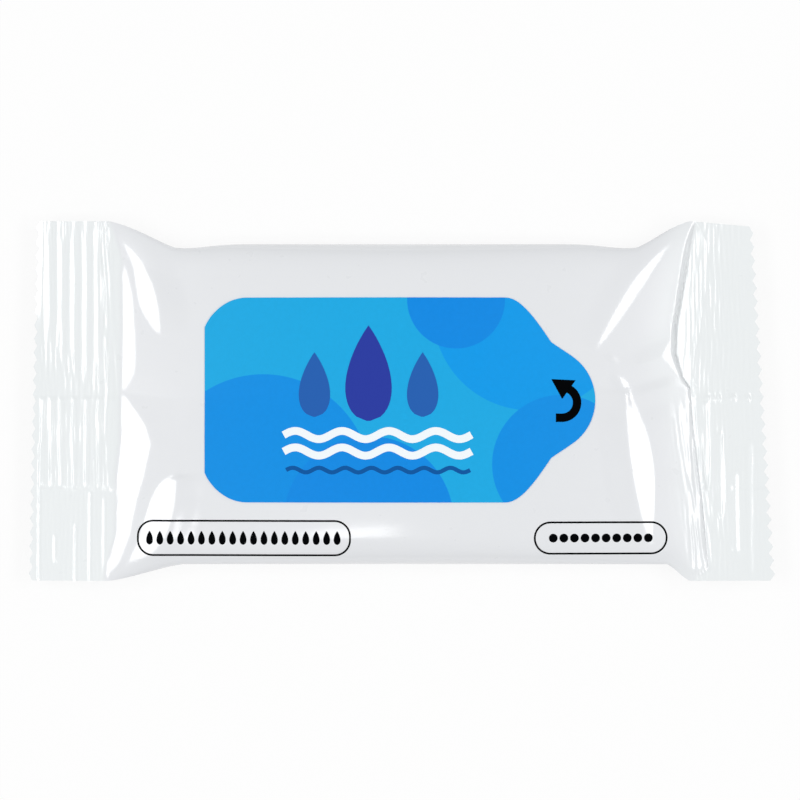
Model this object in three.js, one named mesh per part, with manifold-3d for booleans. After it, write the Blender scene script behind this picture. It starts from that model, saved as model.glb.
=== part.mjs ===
// A pocket pack of moist wipes: a pillow pouch of white film, crimped shut at both ends and welded
// along a fin on its back, with a resealable label stuck on its top. It lies on its back.
// Millimetres, +Z up, +X towards the label's tab, origin under the middle of the pack on the table.
import * as THREE from 'three';
import { mergeVertices } from 'three/addons/utils/BufferGeometryUtils.js';
import Module from 'manifold-3d';

const { clamp, lerp, smoothstep } = THREE.MathUtils;
const wasm = await Module();
wasm.setup();

// The film tube and the stack of folded wipes that fills it
const packLength = 146; // over the tips of both cut edges
const flatWidth = 70.2; // the tube pressed flat, as in the end seals
const bodyWidth = 62.5; // over the stack of wipes
const bodyShift = -0.6; // how far the stack lies off the tube's middle line
const crownHeight = 11.4; // of the top film above the table
const waistHeight = 5.6; // of the widest line, where the end seals are drawn in
const weldThickness = 0.3; // of the sealed layers of film
const domePower = 12; // 2 is an ellipse, more is a flatter top with tighter shoulders
const archPower = 1.7; // 2 is a parabola along the pack, 1 a straight climb
const archRun = 57; // from a seal to the middle of the arch
const tablePress = 1.05; // how much deeper the back would bulge if no table pressed it flat
const backFacet = 11; // from either seal down to the flat of the back
const fillet = 0.5; // where the film starts to rise from a seal

// The end seals: their lengths from the inner line to the tips of the cut, and how far the cut edge
// runs out from its upper to its lower corner
const leftSeal = 15.8;
const leftSlant = 1.6;
const rightSeal = 16.8;
const rightSlant = 4.4;

// How far the tube's side edges take to draw in from its flat width to the body
const upperLeftFlare = 13;
const lowerLeftFlare = 14.5;
const upperRightFlare = 10.5;
const lowerRightFlare = 4.5;
const neckDepth = 0.8; // how much further the upper edge draws in where a flare ends
const neckReach = 6;
const neckBeyond = 2; // from the flare's end to where the neck is deepest

// Crimps and the zigzag cut
const teeth = 26;
const crimpPitch = 2.5;
const crimpRows = 10; // of tops and valleys, from the seal's inner line on
const crimpHeight = 0.27; // from a valley to a top
const shallowCrimp = 0.15; // share of the crimps' height where the jaws hardly pressed
const splitBlend = 0.15; // as a share of half the width, between deep crimps and shallow ones
const plainMargin = 0.3; // of film between the crimps and the teeth

// The two ends, as they have been gathered. A facet is the slope beside a seal: each point is a
// place across, then how far inwards of the seal's line the facet starts and ends there. A fold's
// crest runs from one point past another to a third, each given inwards of the seal's line and across.
// On one side of the crest a flank falls away evenly, on the other it fades out over a longer way.
const facetSlope = 0.16; // over and above the slope of the arch
const foldSlope = 0.16;
const crestSteps = 24;
const ends = [
  {
    side: -1,
    seal: leftSeal,
    slant: leftSlant,
    upperFlare: upperLeftFlare,
    lowerFlare: lowerLeftFlare,
    cornerDrop: 0,
    droop: 1.1, // of the cut edge below the seal's inner line
    twist: 0.3, // lifts the upper corner and lowers the lower one
    tooth: 0.7,
    facet: [
      [-1, -1, -0.8], [-0.91, -0.6, 1.4], [-0.75, 1, 3.5], [-0.57, 1.3, 4.8], [-0.44, 1.1, 6.2],
      [-0.235, 1.9, 7.7], [-0.12, 2.1, 6.4], [0.05, 2.1, 2.1], [0.165, 2.2, 4.2], [0.26, 2.2, 4.6],
      [0.39, 2.3, 4.5], [0.62, 2.3, 3.9], [0.81, 2.5, 2.5], [1, 0.2, 0.2],
    ],
    folds: [
      { crest: [[9.8, 13], [10.8, 24], [1.6, 32]], flank: 3.4, fade: 6, widest: 0.35 },
      { crest: [[-0.3, -35], [13.7, -31.5], [13.2, -14.5]], flank: 5, fade: 6, widest: 0.7 },
    ],
    crimps: { lower: 0.5, splitAtLine: 0.05, splitAtCut: 0.25, deepTo: leftSeal },
  },
  {
    side: 1,
    seal: rightSeal,
    slant: rightSlant,
    upperFlare: upperRightFlare,
    lowerFlare: lowerRightFlare,
    cornerDrop: 1.4,
    droop: 1.1,
    twist: -0.3,
    tooth: 1,
    facet: [
      [-1, -0.5, -0.5], [-0.93, -3.6, -3.4], [-0.52, -2.2, -1.6], [-0.4, -1.6, 0.6],
      [-0.2, -0.6, 2.2], [-0.05, -0.3, 2.4], [0.07, 0, 0.6], [0.13, 1.6, 1.7], [0.26, 2.9, 4.9],
      [0.36, 2.8, 2.8], [0.43, 2.7, 2.7], [1, 0, 0],
    ],
    folds: [
      { crest: [[3.2, 31.2], [10.2, 27.5], [18.7, 9.9]], flank: 1.9, fade: 5, widest: 0.6 },
      { crest: [[12.5, 2.5], [12.7, -14], [7.4, -28.5]], flank: 4.2, fade: 6, widest: 0.45 },
    ],
    crimps: { lower: 0.35, splitAtLine: 0.12, splitAtCut: 0.12, deepTo: 5 },
  },
];

// The fin: the welded seam on the back, folded over to lie flat
const finRoot = 0.9; // where it stands on the tube, measured across from the tube's middle line
const finWidth = 18.2;
const finThickness = 0.35;
const finGap = 0.3; // between the folded fin and the back
const finWeld = 1.2; // width of the joint at its root

// The resealable label, with a round tab to lift it by
const labelFromSeal = 18.8; // from the left seal to the label
const tabFromSeal = 18.6; // from the tip of the tab to the right seal
const labelFromSides = 11.35; // from the body's side edges
const labelRaise = 0.8; // of its middle line above the body's
const cornerAlong = 8.2; // the left corners' round, along the label and across it
const cornerAcross = 5.8;
const cornerStart = [0.8, 2.2]; // how its curve leaves the left edge
const cornerPull = 4.4; // how far it runs straight into the long edge
const tabRadius = 10.3;
const tabRound = 55; // degrees either side of the tip where the tab is round
const tabRoundPull = 2.2; // how far the neck's curve runs on straight from there
const shoulderBack = 6.1; // from the tab's centre back to where the straight edges end
const shoulderPull = 2.2;
const neckAhead = 1.6; // from the tab's centre to the corner of the neck
const neckHalf = 11.4;
const neckSlope = 56; // degrees
const neckPullIn = 5.3; // how straight the shoulder runs into the neck
const neckPullOut = 0.4;
const labelThickness = 0.2;
const labelGap = 0.3; // clearance to the film

// How finely the film is divided
const columns = 2 * teeth; // across the top film, and the same across the back
const facetSteps = [0, 1, 2.2, 3.5, 4.9, 6.5, 8.6, 11.2, 14.6, 20]; // inwards from a seal
const bodySteps = 5;
const finColumns = 4;
const labelRows = 26;
const labelColumns = 14;
const curveSegments = 10; // of each curve of the label's outline

const filmMaterial = new THREE.MeshStandardMaterial({ color: 0xe5e7eb, roughness: 0.25 });
const labelMaterial = new THREE.MeshStandardMaterial({ color: 0x24aae3, roughness: 0.35 });

// Places on the pouch. s runs from -1 at its lower side edge to 1 at its upper one.

const sealLine = (end) => end.side * (packLength / 2 - end.seal);

const cutLine = (end, s) => end.side * (packLength / 2 - (end.slant * (s + 1)) / 2);

// How far x lies inwards of an end's seal; negative in the seal.
const inwards = (end, x) => (sealLine(end) - x) * end.side;

// How far x is through an end's seal, from 0 at its inner line to 1 at the tips of the cut.
const sealShare = (end, x) => clamp(-inwards(end, x) / end.seal, 0, 1);

const nearerEnd = (x) => (x < 0 ? ends[0] : ends[1]);

// y of the upper side edge, with sign 1, or of the lower one, with sign -1.
function sideEdge(x, sign) {
  const end = nearerEnd(x);
  const upper = sign > 0;
  const flare = upper ? end.upperFlare : end.lowerFlare;
  const share = clamp(inwards(end, x) / flare, 0, 1);
  const eased = (share + smoothstep(share, 0, 1)) / 2;
  const flat = (sign * flatWidth) / 2 - (upper ? end.cornerDrop * sealShare(end, x) : 0);
  const body = bodyShift + (sign * bodyWidth) / 2;
  const fromNeck = (inwards(end, x) - flare - neckBeyond) / neckReach;
  const neck = upper ? neckDepth * Math.exp(-(fromNeck ** 2)) * eased : 0;
  return lerp(flat, body, eased) - neck;
}

const acrossAt = (x, s) => lerp(sideEdge(x, -1), sideEdge(x, 1), (s + 1) / 2);

const placeAcross = (x, y) => {
  const lower = sideEdge(x, -1);
  return clamp((2 * (y - lower)) / (sideEdge(x, 1) - lower) - 1, -1, 1);
};

// The height of the surface that parts the top film from the back film.
function partingHeight(x, s) {
  const end = nearerEnd(x);
  return waistHeight + sealShare(end, x) * (end.twist * s - end.droop);
}

// Where an end's facet starts and ends at s, inwards of the seal's line.
function facetSpan(end, s) {
  const next = Math.max(1, end.facet.findIndex(([across]) => across >= s));
  const [low, high] = [end.facet[next - 1], end.facet[next]];
  const share = (s - low[0]) / (high[0] - low[0]);
  return [lerp(low[1], high[1], share), lerp(low[2], high[2], share)];
}

// A distance with a rounded start.
const easedStart = (distance) => Math.hypot(Math.max(distance, 0), fillet) - fillet;

// Climbs from 0 to 1, steepest at the start and level at the end.
const arch = (share, power) => 1 - (1 - clamp(share, 0, 1)) ** power;

const dome = (s) => Math.sqrt(Math.max(0, 1 - Math.abs(s) ** domePower));

// The width of a fold along its crest, from 0 to 1, widest at the share given.
const foldWidth = (share, widest) =>
  (share / widest) * ((1 - share) / (1 - widest)) ** ((1 - widest) / widest);

// The lift of one fold at a point of the film.
function foldLift(end, { crest, flank, fade, widest }, x, y) {
  const [from, past, to] = crest.map(
    ([inward, across]) => new THREE.Vector2(sealLine(end) - end.side * inward, across),
  );
  const curve = new THREE.QuadraticBezierCurve(from, past, to);
  const point = new THREE.Vector2(x, y);
  let nearest = { reach: Infinity };
  for (let step = 0; step <= crestSteps; step++) {
    const share = step / crestSteps;
    const offset = point.clone().sub(curve.getPoint(share));
    const reach = offset.length();
    if (reach < nearest.reach) nearest = { reach, share, offset };
  }
  const heading = curve.getTangent(nearest.share);
  const ahead = nearest.offset.dot(heading) / from.distanceTo(to);
  const side = heading.cross(nearest.offset);
  const width = flank * foldWidth(clamp(nearest.share + ahead, 0, 1), widest);
  if (side > 0) return foldSlope * Math.max(width - side, 0);
  return foldSlope * width * (1 - smoothstep(-side, 0, fade));
}

function topHeight(x, s) {
  const end = nearerEnd(x);
  const [start, stop] = facetSpan(end, s);
  const distance = easedStart(inwards(end, x) - start);
  const climb = facetSlope * Math.min(distance, stop - start);
  const rest = crownHeight - waistHeight - weldThickness / 2 - facetSlope * (stop - start);
  const film = climb + rest * arch(distance / archRun, archPower);
  const y = acrossAt(x, s);
  const folded = end.folds.reduce((total, fold) => total + foldLift(end, fold, x, y), 0);
  const edgeKept = 1 - Math.abs(s) ** domePower;
  return partingHeight(x, s) + weldThickness / 2 + film * dome(s) + folded * edgeKept;
}

// The lowest that the back film lies: on the table, or on the fin that lies between the two.
function backFloor(y) {
  const column = flatWidth / columns;
  const underFin = y < finRoot && y > finRoot - finWidth - finGap - column;
  return underFin ? finThickness + finGap : 0;
}

function backHeight(x, s) {
  const fall = tablePress * waistHeight * dome(s);
  const film = arch(easedStart(inwards(nearerEnd(x), x)) / backFacet, 2);
  const free = partingHeight(x, s) - weldThickness / 2 - fall * film;
  return Math.max(backFloor(acrossAt(x, s)), free);
}

// How deep the crimping jaws pressed, so far outwards of a seal's line: deepest above a split.
function crimpStrength(end, outwards, s) {
  const { lower, splitAtLine, splitAtCut, deepTo } = end.crimps;
  const split = lerp(splitAtLine, splitAtCut, outwards / end.seal);
  const upper = lerp(1, shallowCrimp, smoothstep(outwards, deepTo, deepTo + crimpPitch));
  return lerp(lower, upper, smoothstep(s, split, split + splitBlend));
}

// A line of film across the pouch at one station, from one side edge to the other.
class FilmLine extends THREE.Curve {
  constructor(station, height, direction) {
    super();
    this.station = station;
    this.height = height;
    this.direction = direction;
  }

  getPoint(t, target = new THREE.Vector3()) {
    const s = this.direction * Math.cos(Math.PI * t);
    const x = this.station.place(s);
    return target.set(x, acrossAt(x, s), this.height(x, s) + this.station.lift(s));
  }
}

// Stations along the pouch, each with its place along X and the lift of its crimp.

const unlifted = () => 0;

function sealStations(end) {
  const run = end.seal - end.slant / 2;
  const place = (share) => (s) => lerp(sealLine(end), cutLine(end, s), share);
  const stations = [];
  for (let row = 1; row <= crimpRows; row++) {
    const outwards = (row * crimpPitch) / 2;
    const height = (crimpHeight / 2) * (row % 2 ? 1 : -1);
    const lift = (s) => height * crimpStrength(end, outwards, s);
    stations.push({ place: place(outwards / run), lift, tooth: 0 });
  }
  stations.push({ place: place(1 - (end.tooth + plainMargin) / run), lift: unlifted, tooth: 0 });
  stations.push({ place: place(1), lift: unlifted, tooth: -end.side * end.tooth });
  return stations;
}

function facetStations(end) {
  return facetSteps.map((step) => {
    const x = sealLine(end) - end.side * step;
    return { place: () => x, lift: unlifted, tooth: 0 };
  });
}

function allStations() {
  const [left, right] = ends;
  const from = sealLine(left) + facetSteps.at(-1);
  const to = sealLine(right) - facetSteps.at(-1);
  const body = [];
  for (let step = 1; step < bodySteps; step++) {
    const x = lerp(from, to, step / bodySteps);
    body.push({ place: () => x, lift: unlifted, tooth: 0 });
  }
  return [
    ...sealStations(left).reverse(),
    ...facetStations(left),
    ...body,
    ...facetStations(right).reverse(),
    ...sealStations(right),
  ];
}

// A closed skin over rings of points, all of one count, with the two end rings filled in. Each
// ring's first half and second half, reversed, lie side by side, so a fill is a strip between them.
function skinOver(rings) {
  const count = rings[0].length;
  const half = count / 2;
  const positions = rings.flatMap((ring) => ring.flatMap((point) => point.toArray()));
  const index = [];
  const quad = (a, b, c, d) => index.push(a, b, c, a, c, d);
  for (let row = 0; row + 1 < rings.length; row++) {
    for (let k = 0; k < count; k++) {
      const next = (k + 1) % count;
      quad(row * count + k, row * count + next, (row + 1) * count + next, (row + 1) * count + k);
    }
  }
  const last = (rings.length - 1) * count;
  for (let k = 0; k + 1 < half; k++) {
    const far = count - 1 - k;
    quad(k, far, far - 1, k + 1);
    quad(last + k, last + k + 1, last + far - 1, last + far);
  }
  const geometry = new THREE.BufferGeometry();
  geometry.setAttribute('position', new THREE.Float32BufferAttribute(positions, 3));
  geometry.setIndex(index);
  return geometry;
}

function toSolid(geometry) {
  const bare = geometry.clone();
  bare.deleteAttribute('normal');
  bare.deleteAttribute('uv');
  const merged = mergeVertices(bare, 1e-4);
  const solid = new wasm.Manifold(
    new wasm.Mesh({
      numProp: 3,
      vertProperties: new Float32Array(merged.attributes.position.array),
      triVerts: new Uint32Array(merged.index.array),
    }),
  );
  if (solid.volume() < 0) throw new Error('a solid is inside out');
  return solid;
}

function toGeometry(solid) {
  const mesh = solid.getMesh();
  const geometry = new THREE.BufferGeometry();
  geometry.setAttribute('position', new THREE.BufferAttribute(mesh.vertProperties, 3));
  geometry.setIndex(new THREE.BufferAttribute(mesh.triVerts, 1));
  geometry.computeVertexNormals();
  return geometry;
}

// The pouch without its fin: a ring of film at each station, evenly divided along the film.
function pouchSkin() {
  const rings = allStations().map((station) => {
    const top = new FilmLine(station, topHeight, 1).getSpacedPoints(columns);
    const back = new FilmLine(station, backHeight, -1).getSpacedPoints(columns);
    for (const line of [top, back]) {
      line.forEach((point, k) => {
        if (k % 2) point.x += station.tooth;
      });
    }
    return [...top, ...back];
  });
  return skinOver(rings);
}

// The fin stands on the back at its root, lies a gap below it, and is welded into the end seals.
function finSkin() {
  const ring = (station) => {
    const pointAt = (y, below) => {
      const x = station.place((2 * y) / flatWidth);
      const s = placeAcross(x, y);
      return new THREE.Vector3(x, y, Math.max(0, backHeight(x, s) + station.lift(s) - below));
    };
    const inward = inwards(nearerEnd(station.place(0)), station.place(0));
    const gap = lerp(-weldThickness / 3, finGap, smoothstep(inward, -1, 3));
    const weldEdge = finRoot - finWeld;
    const upper = [
      pointAt(finRoot, -weldThickness / 2),
      pointAt(weldEdge, -weldThickness / 2),
      pointAt(weldEdge, gap),
    ];
    const lower = [
      pointAt(finRoot, gap + finThickness),
      pointAt(finRoot - finWeld / 2, gap + finThickness),
      pointAt(weldEdge, gap + finThickness),
    ];
    for (let k = 1; k <= finColumns; k++) {
      const y = lerp(weldEdge, finRoot - finWidth, k / finColumns);
      upper.push(pointAt(y, gap));
      lower.push(pointAt(y, gap + finThickness));
    }
    return [...upper, ...lower.reverse()];
  };
  return skinOver(allStations().filter((station) => !station.tooth).map(ring));
}

// The label's outline, from its left end round the tab, with +Y across the pack.
function labelOutline() {
  const left = sealLine(ends[0]) + labelFromSeal;
  const tabCentre = sealLine(ends[1]) - tabFromSeal - tabRadius;
  const half = bodyWidth / 2 - labelFromSides;
  const shoulder = tabCentre - shoulderBack;
  const neck = tabCentre + neckAhead;
  const slope = THREE.MathUtils.degToRad(neckSlope);
  const round = THREE.MathUtils.degToRad(tabRound);
  const roundX = tabCentre + tabRadius * Math.cos(round);
  const roundY = tabRadius * Math.sin(round);
  const before = [neckPullIn * Math.cos(slope), neckPullIn * Math.sin(slope)];
  const after = [neckPullOut * Math.cos(slope), neckPullOut * Math.sin(slope)];
  const tangent = [tabRoundPull * Math.sin(round), tabRoundPull * Math.cos(round)];
  const shape = new THREE.Shape();
  const cornerX = left + cornerAlong;
  const cornerY = half - cornerAcross;
  shape.moveTo(left, cornerY);
  shape.bezierCurveTo(
    left + cornerStart[0], cornerY + cornerStart[1], cornerX - cornerPull, half, cornerX, half,
  );
  shape.lineTo(shoulder, half);
  shape.bezierCurveTo(
    shoulder + shoulderPull, half, neck - before[0], neckHalf + before[1], neck, neckHalf,
  );
  shape.bezierCurveTo(
    neck + after[0], neckHalf - after[1], roundX - tangent[0], roundY + tangent[1], roundX, roundY,
  );
  shape.absarc(tabCentre, 0, tabRadius, round, -round, true);
  shape.bezierCurveTo(
    roundX - tangent[0], -roundY - tangent[1], neck + after[0], after[1] - neckHalf, neck, -neckHalf,
  );
  shape.bezierCurveTo(
    neck - before[0], -neckHalf - before[1], shoulder + shoulderPull, -half, shoulder, -half,
  );
  shape.lineTo(cornerX, -half);
  shape.bezierCurveTo(
    cornerX - cornerPull, -half, left + cornerStart[0], -cornerY - cornerStart[1], left, -cornerY,
  );
  return shape;
}

// The label: a layer that follows the top film, cut to the outline.
function labelSolid() {
  const shape = labelOutline();
  const middle = bodyShift + labelRaise;
  const blank = new THREE.ExtrudeGeometry(shape, {
    depth: 2 * crownHeight,
    bevelEnabled: false,
    curveSegments,
  }).translate(0, middle, 0);
  blank.computeBoundingBox();
  const { min, max } = blank.boundingBox;
  const margin = 1;
  const rings = [];
  for (let row = 0; row <= labelRows; row++) {
    const x = lerp(min.x - margin, max.x + margin, row / labelRows);
    const line = (lift) =>
      Array.from({ length: labelColumns + 1 }, (_, k) => {
        const y = lerp(max.y + margin, min.y - margin, k / labelColumns);
        return new THREE.Vector3(x, y, topHeight(x, placeAcross(x, y)) + lift);
      });
    rings.push([...line(labelGap + labelThickness), ...line(labelGap).reverse()]);
  }
  return toSolid(skinOver(rings)).intersect(toSolid(blank));
}

function named(name, solid, material) {
  const mesh = new THREE.Mesh(toGeometry(solid), material);
  mesh.name = name;
  return mesh;
}

const pack = new THREE.Group();
pack.add(named('pouch', toSolid(pouchSkin()).add(toSolid(finSkin())), filmMaterial));
pack.add(named('reseal_label', labelSolid(), labelMaterial));

export default pack;
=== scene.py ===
# %% [markdown]
# # A pocket pack of moist wipes
#
# The real thing is a flow pack. A machine folds a web of white film into a tube round a stack of
# wipes, welds it along a fin on the back, and crimps and cuts it at both ends. A label that can be
# lifted and pressed down again covers an opening in the top.
#
# The CAD frame holds the pouch and the label as plain solids at their real size. This lesson makes
# the surfaces that we see: the film with its crimps and folds, the label, and the inks. We load the
# frame first, and take the outer sizes from its boxes.

import math
from types import SimpleNamespace

import bpy
import numpy as np
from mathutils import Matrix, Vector
from mathutils.bvhtree import BVHTree


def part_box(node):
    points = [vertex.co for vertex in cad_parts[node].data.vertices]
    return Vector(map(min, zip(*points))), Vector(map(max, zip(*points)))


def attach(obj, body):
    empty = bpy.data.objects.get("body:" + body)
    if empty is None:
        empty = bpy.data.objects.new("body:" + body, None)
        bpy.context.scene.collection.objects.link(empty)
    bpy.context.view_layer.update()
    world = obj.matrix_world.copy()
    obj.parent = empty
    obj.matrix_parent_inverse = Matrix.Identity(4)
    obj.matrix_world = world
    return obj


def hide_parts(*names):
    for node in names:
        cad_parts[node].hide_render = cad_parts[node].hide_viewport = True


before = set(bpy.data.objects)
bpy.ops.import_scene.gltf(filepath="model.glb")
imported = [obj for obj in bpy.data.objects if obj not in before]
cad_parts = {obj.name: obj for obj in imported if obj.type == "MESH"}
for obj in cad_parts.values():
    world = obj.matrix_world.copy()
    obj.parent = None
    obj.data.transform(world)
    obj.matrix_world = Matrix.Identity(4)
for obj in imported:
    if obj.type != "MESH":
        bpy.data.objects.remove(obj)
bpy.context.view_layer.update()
print("nodes in the frame:", sorted(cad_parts))

# %% [markdown]
# ## Sizes
#
# All the places below are in millimetres, because that is how such a pack is drawn. Blender works in
# metres, so a mesh is scaled by MM when it is made, and never after that. The outer sizes could be
# typed in, but then they could drift away from the solids, so they are read from the frame's own boxes.
# The rest are the sizes of this pack: how wide the stack holds the film open, and how high it lifts it.

# %% Sizes of the pack
MM = 0.001
pouch_low, pouch_high = (np.array(corner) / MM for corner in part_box("pouch"))
label_low, label_high = (np.array(corner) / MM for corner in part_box("reseal_label"))

PACK_LENGTH = pouch_high[0] - pouch_low[0]
FLAT_WIDTH = pouch_high[1] - pouch_low[1]  # the tube pressed flat, as in the seals
BODY_WIDTH = 62.5  # over the stack of wipes
BODY_SHIFT = -0.6  # how far the stack lies off the tube's middle line
CROWN_HEIGHT = 11.4  # of the top film above the table
WAIST_HEIGHT = 5.6  # of the side edges, and of the seals where they start
WELD_THICKNESS = 0.3
print(f"pack {PACK_LENGTH:.1f} x {FLAT_WIDTH:.1f} mm, label {label_high[0] - label_low[0]:.1f} mm long")

# %% [markdown]
# The two ends of a pack are never alike, because the film is gathered by chance when it is sealed. Each
# could have functions of its own, but one set serves both, if each end is one record with its sizes. A
# flare is how long a side edge takes to draw in from the seal to the body. The slant is how much
# shorter the pack is at the upper corner, and corner_drop is how far that corner is drawn in. The droop
# is how far the cut hangs below the seal's line, and the twist lifts one corner of the cut and lowers
# the other. A tooth is how deep the zigzag is. The creases are explained where they are made.

# %% Sizes of the two ends
LEFT = SimpleNamespace(
    side=-1, seal=15.8, slant=1.6, upper_flare=13, lower_flare=14.5, corner_drop=0,
    droop=1.1, twist=0.3, tooth=0.7, lower_crease=0.05, upper_crease=0.05,
)
RIGHT = SimpleNamespace(
    side=1, seal=16.8, slant=4.4, upper_flare=10.5, lower_flare=4.5, corner_drop=1.4,
    droop=1.1, twist=-0.3, tooth=1.0, lower_crease=0.5, upper_crease=1.75,
)
ENDS = (LEFT, RIGHT)
print("lengths of the seals:", [end.seal for end in ENDS], "mm")

# %% [markdown]
# ## Where things are on the film
#
# A filled film has no corners to measure from, so we need a way of our own to name a place on it. The
# numbers of a mesh's vertices would do, but they change with every new grid. Two numbers do better: x
# along the pack, and s across it, from -1 at the lower side edge to 1 at the upper one. The helpers work
# on whole numpy arrays at once, so a grid of many thousand points takes no time.

# %% Places on the pouch
def smooth(value, low, high):
    """Rises smoothly from 0 at low to 1 at high."""
    share = np.clip((value - low) / (high - low), 0, 1)
    return share * share * (3 - 2 * share)


def bump(value, centre, width):
    """A soft hump of height 1 around a centre."""
    return np.exp(-((value - centre) / width) ** 2)


def seal_line(end):
    """x of the line at which an end's seal starts."""
    return end.side * (PACK_LENGTH / 2 - end.seal)


def inwards(end, x):
    """How far x lies inwards of an end's seal. It is negative in the seal."""
    return (seal_line(end) - x) * end.side


def by_end(x, make):
    """Calls make for both ends and takes each point's value from its nearer end."""
    return np.where(x < 0, make(LEFT), make(RIGHT))


print(f"the seals start at x {seal_line(LEFT):.1f} and {seal_line(RIGHT):.1f} mm")

# %% [markdown]
# ## The side edges
#
# Seen from above, the film is widest in the seals, where it lies flat, and draws in over the stack. A
# curve object could hold this outline, but every height below depends on it, so a function that answers
# at any x is more use. Over its flare an edge goes from the flat width to the body's width, partly in a
# straight line and partly in an S. At the upper edge it draws in a little too far where the flare ends,
# which makes a soft neck.

# %% Side edges
NECK_DEPTH = 0.8  # how much further the upper edge draws in where a flare ends
NECK_REACH = 6
NECK_BEYOND = 2  # from the flare's end to where the neck is deepest
FLARE_STRAIGHT, FLARE_ROUND = 0.55, 0.45  # how much of a flare is a straight line, and how much an S


def side_edge(x, sign):
    """y of the upper side edge, with sign 1, or of the lower one, with sign -1."""
    body = BODY_SHIFT + sign * BODY_WIDTH / 2

    def edge(end):
        flare = end.upper_flare if sign > 0 else end.lower_flare
        share = np.clip(inwards(end, x) / flare, 0, 1)
        eased = FLARE_STRAIGHT * share + FLARE_ROUND * smooth(share, 0, 1)
        outwards = np.clip(-inwards(end, x) / end.seal, 0, 1)
        flat = sign * FLAT_WIDTH / 2 - (end.corner_drop * outwards if sign > 0 else 0)
        neck = NECK_DEPTH * bump(inwards(end, x), flare + NECK_BEYOND, NECK_REACH) * eased
        return flat + (body - flat) * eased - sign * neck * (sign > 0)
    return by_end(x, edge)


def across_at(x, s):
    """y at a place on the film."""
    upper, lower = side_edge(x, 1), side_edge(x, -1)
    return lower + (upper - lower) * (s + 1) / 2


print(f"width at the middle: {side_edge(0.0, 1) - side_edge(0.0, -1):.1f} mm")

# %% [markdown]
# ## Facets beside the seals
#
# The stack holds the film up like a tent. From each seal the film first climbs a short even slope, a
# facet, and it is these facets that mirror the softboxes as white shapes. Sculpting could make them for
# one picture, but not for another size. So each end has a list: at some places across the pack, given
# as s, it says where the facet starts and where it ends, in millimetres inwards of the seal line. In
# between, numpy interpolates.

# %% Facets
FACET_SLOPE = 0.16  # over and above the slope of the arch
FACET_ROUND = 0.25  # where a facet ends
FILLET = 0.5  # where the film starts to rise from a seal
FACETS = {
    -1: [(-1, -1, -0.8), (-0.91, -0.6, 1.4), (-0.75, 1, 3.5), (-0.57, 1.3, 4.8), (-0.44, 1.1, 6.2),
         (-0.235, 1.9, 7.7), (-0.12, 2.1, 6.4), (0.05, 2.1, 2.1), (0.165, 2.2, 4.2), (0.26, 2.2, 4.6),
         (0.39, 2.3, 4.5), (0.62, 2.3, 3.9), (0.81, 2.5, 2.5), (1, 0.2, 0.2)],
    1: [(-1, -0.5, -0.5), (-0.93, -3.6, -3.5), (-0.52, -2.2, -1.4), (-0.4, -1.6, 0.1),
        (-0.12, -0.5, 1.6), (-0.03, -0.25, 0.3), (0.07, 0, 0.3), (0.13, 1.6, 1.7), (0.26, 2.9, 4.9),
        (0.36, 2.8, 2.8), (0.43, 2.7, 2.7), (1, -1, -1)],
}


def facet_span(end, s):
    """Where an end's facet starts and ends, inwards of the seal line."""
    across, start, stop = np.array(FACETS[end.side]).T
    return np.interp(s, across, start), np.interp(s, across, stop)


def eased_start(distance):
    """A distance with a rounded start, so that a slope begins softly at a seal."""
    return np.hypot(np.maximum(distance, 0), FILLET) - FILLET


def levelled(distance, run):
    """A distance that stops growing at run, with a small round there."""
    free = (distance + run - np.hypot(distance - run, FACET_ROUND)) / 2
    return free - (run - np.hypot(run, FACET_ROUND)) / 2


for end in ENDS:
    longest = max(stop - start for _, start, stop in FACETS[end.side])
    print(f"facets beside the seal at x {seal_line(end):.1f} mm: up to {longest:.1f} mm long")

# %% [markdown]
# ## The crease beside the right seal
#
# Where the upper half of the film meets the right seal, it has been pushed into a crease with a steep
# wall on the body's side and an even apron on the seal's side. In the light the wall is a thin grey
# line, and the apron a white band. A bump in the material could draw the line, but from the side the
# film would still look flat, so the crease is a change of height. It moves both films together, because
# they meet there. The left end has only a trace of it.

# %% Creases at the seals
CREASE_WALL = 1.2  # slope on the body's side, near the upper side edge
CREASE_STEEPER = 1.8  # how much steeper the wall is further down
CREASE_APRON = 0.36  # slope on the seal's side
CREASE_DEEPENS = (0, 0.4)  # s from which and to which the crease grows to its upper depth
WALL_EASES = (0.35, 0.95)  # s from which and to which the wall gets less steep
CREASE_FULLNESS = 8  # how late the crease runs out towards the side edges


def crease_depth(end, x, s):
    """The depth of the crease between a facet and its seal: steep on one side, even on the other."""
    depth = end.lower_crease + (end.upper_crease - end.lower_crease) * smooth(s, *CREASE_DEEPENS)
    from_start = inwards(end, x) - facet_span(end, s)[0]
    wall = CREASE_WALL + CREASE_STEEPER * (1 - smooth(s, *WALL_EASES))
    fall = np.where(from_start > 0, wall * from_start, -CREASE_APRON * from_start)
    return np.maximum(depth * (1 - s ** CREASE_FULLNESS) - fall, 0)


def parting_height(x, s):
    """The height of the surface that parts the top film from the back film."""
    def drooped(end):
        outwards = np.clip(-inwards(end, x) / end.seal, 0, 1)
        return outwards * (end.twist * s - end.droop) - crease_depth(end, x, s)
    return WAIST_HEIGHT + by_end(x, drooped)


apron = RIGHT.upper_crease / CREASE_APRON
print(f"the right crease is {RIGHT.upper_crease} mm deep, its apron {apron:.1f} mm wide")

# %% [markdown]
# ## The height of the top film
#
# Beyond its facet the film runs up a long flat arch to the middle of the pack. Across the pack it is a
# low dome with tight shoulders, because a stack of wipes is flat. A cloth simulation could blow up such
# a pouch, but it would never repeat the folds of this one. So both are plain formulas: a power of the
# distance gives the arch, and a high power of s gives a flat top that falls away at the sides.

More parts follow.
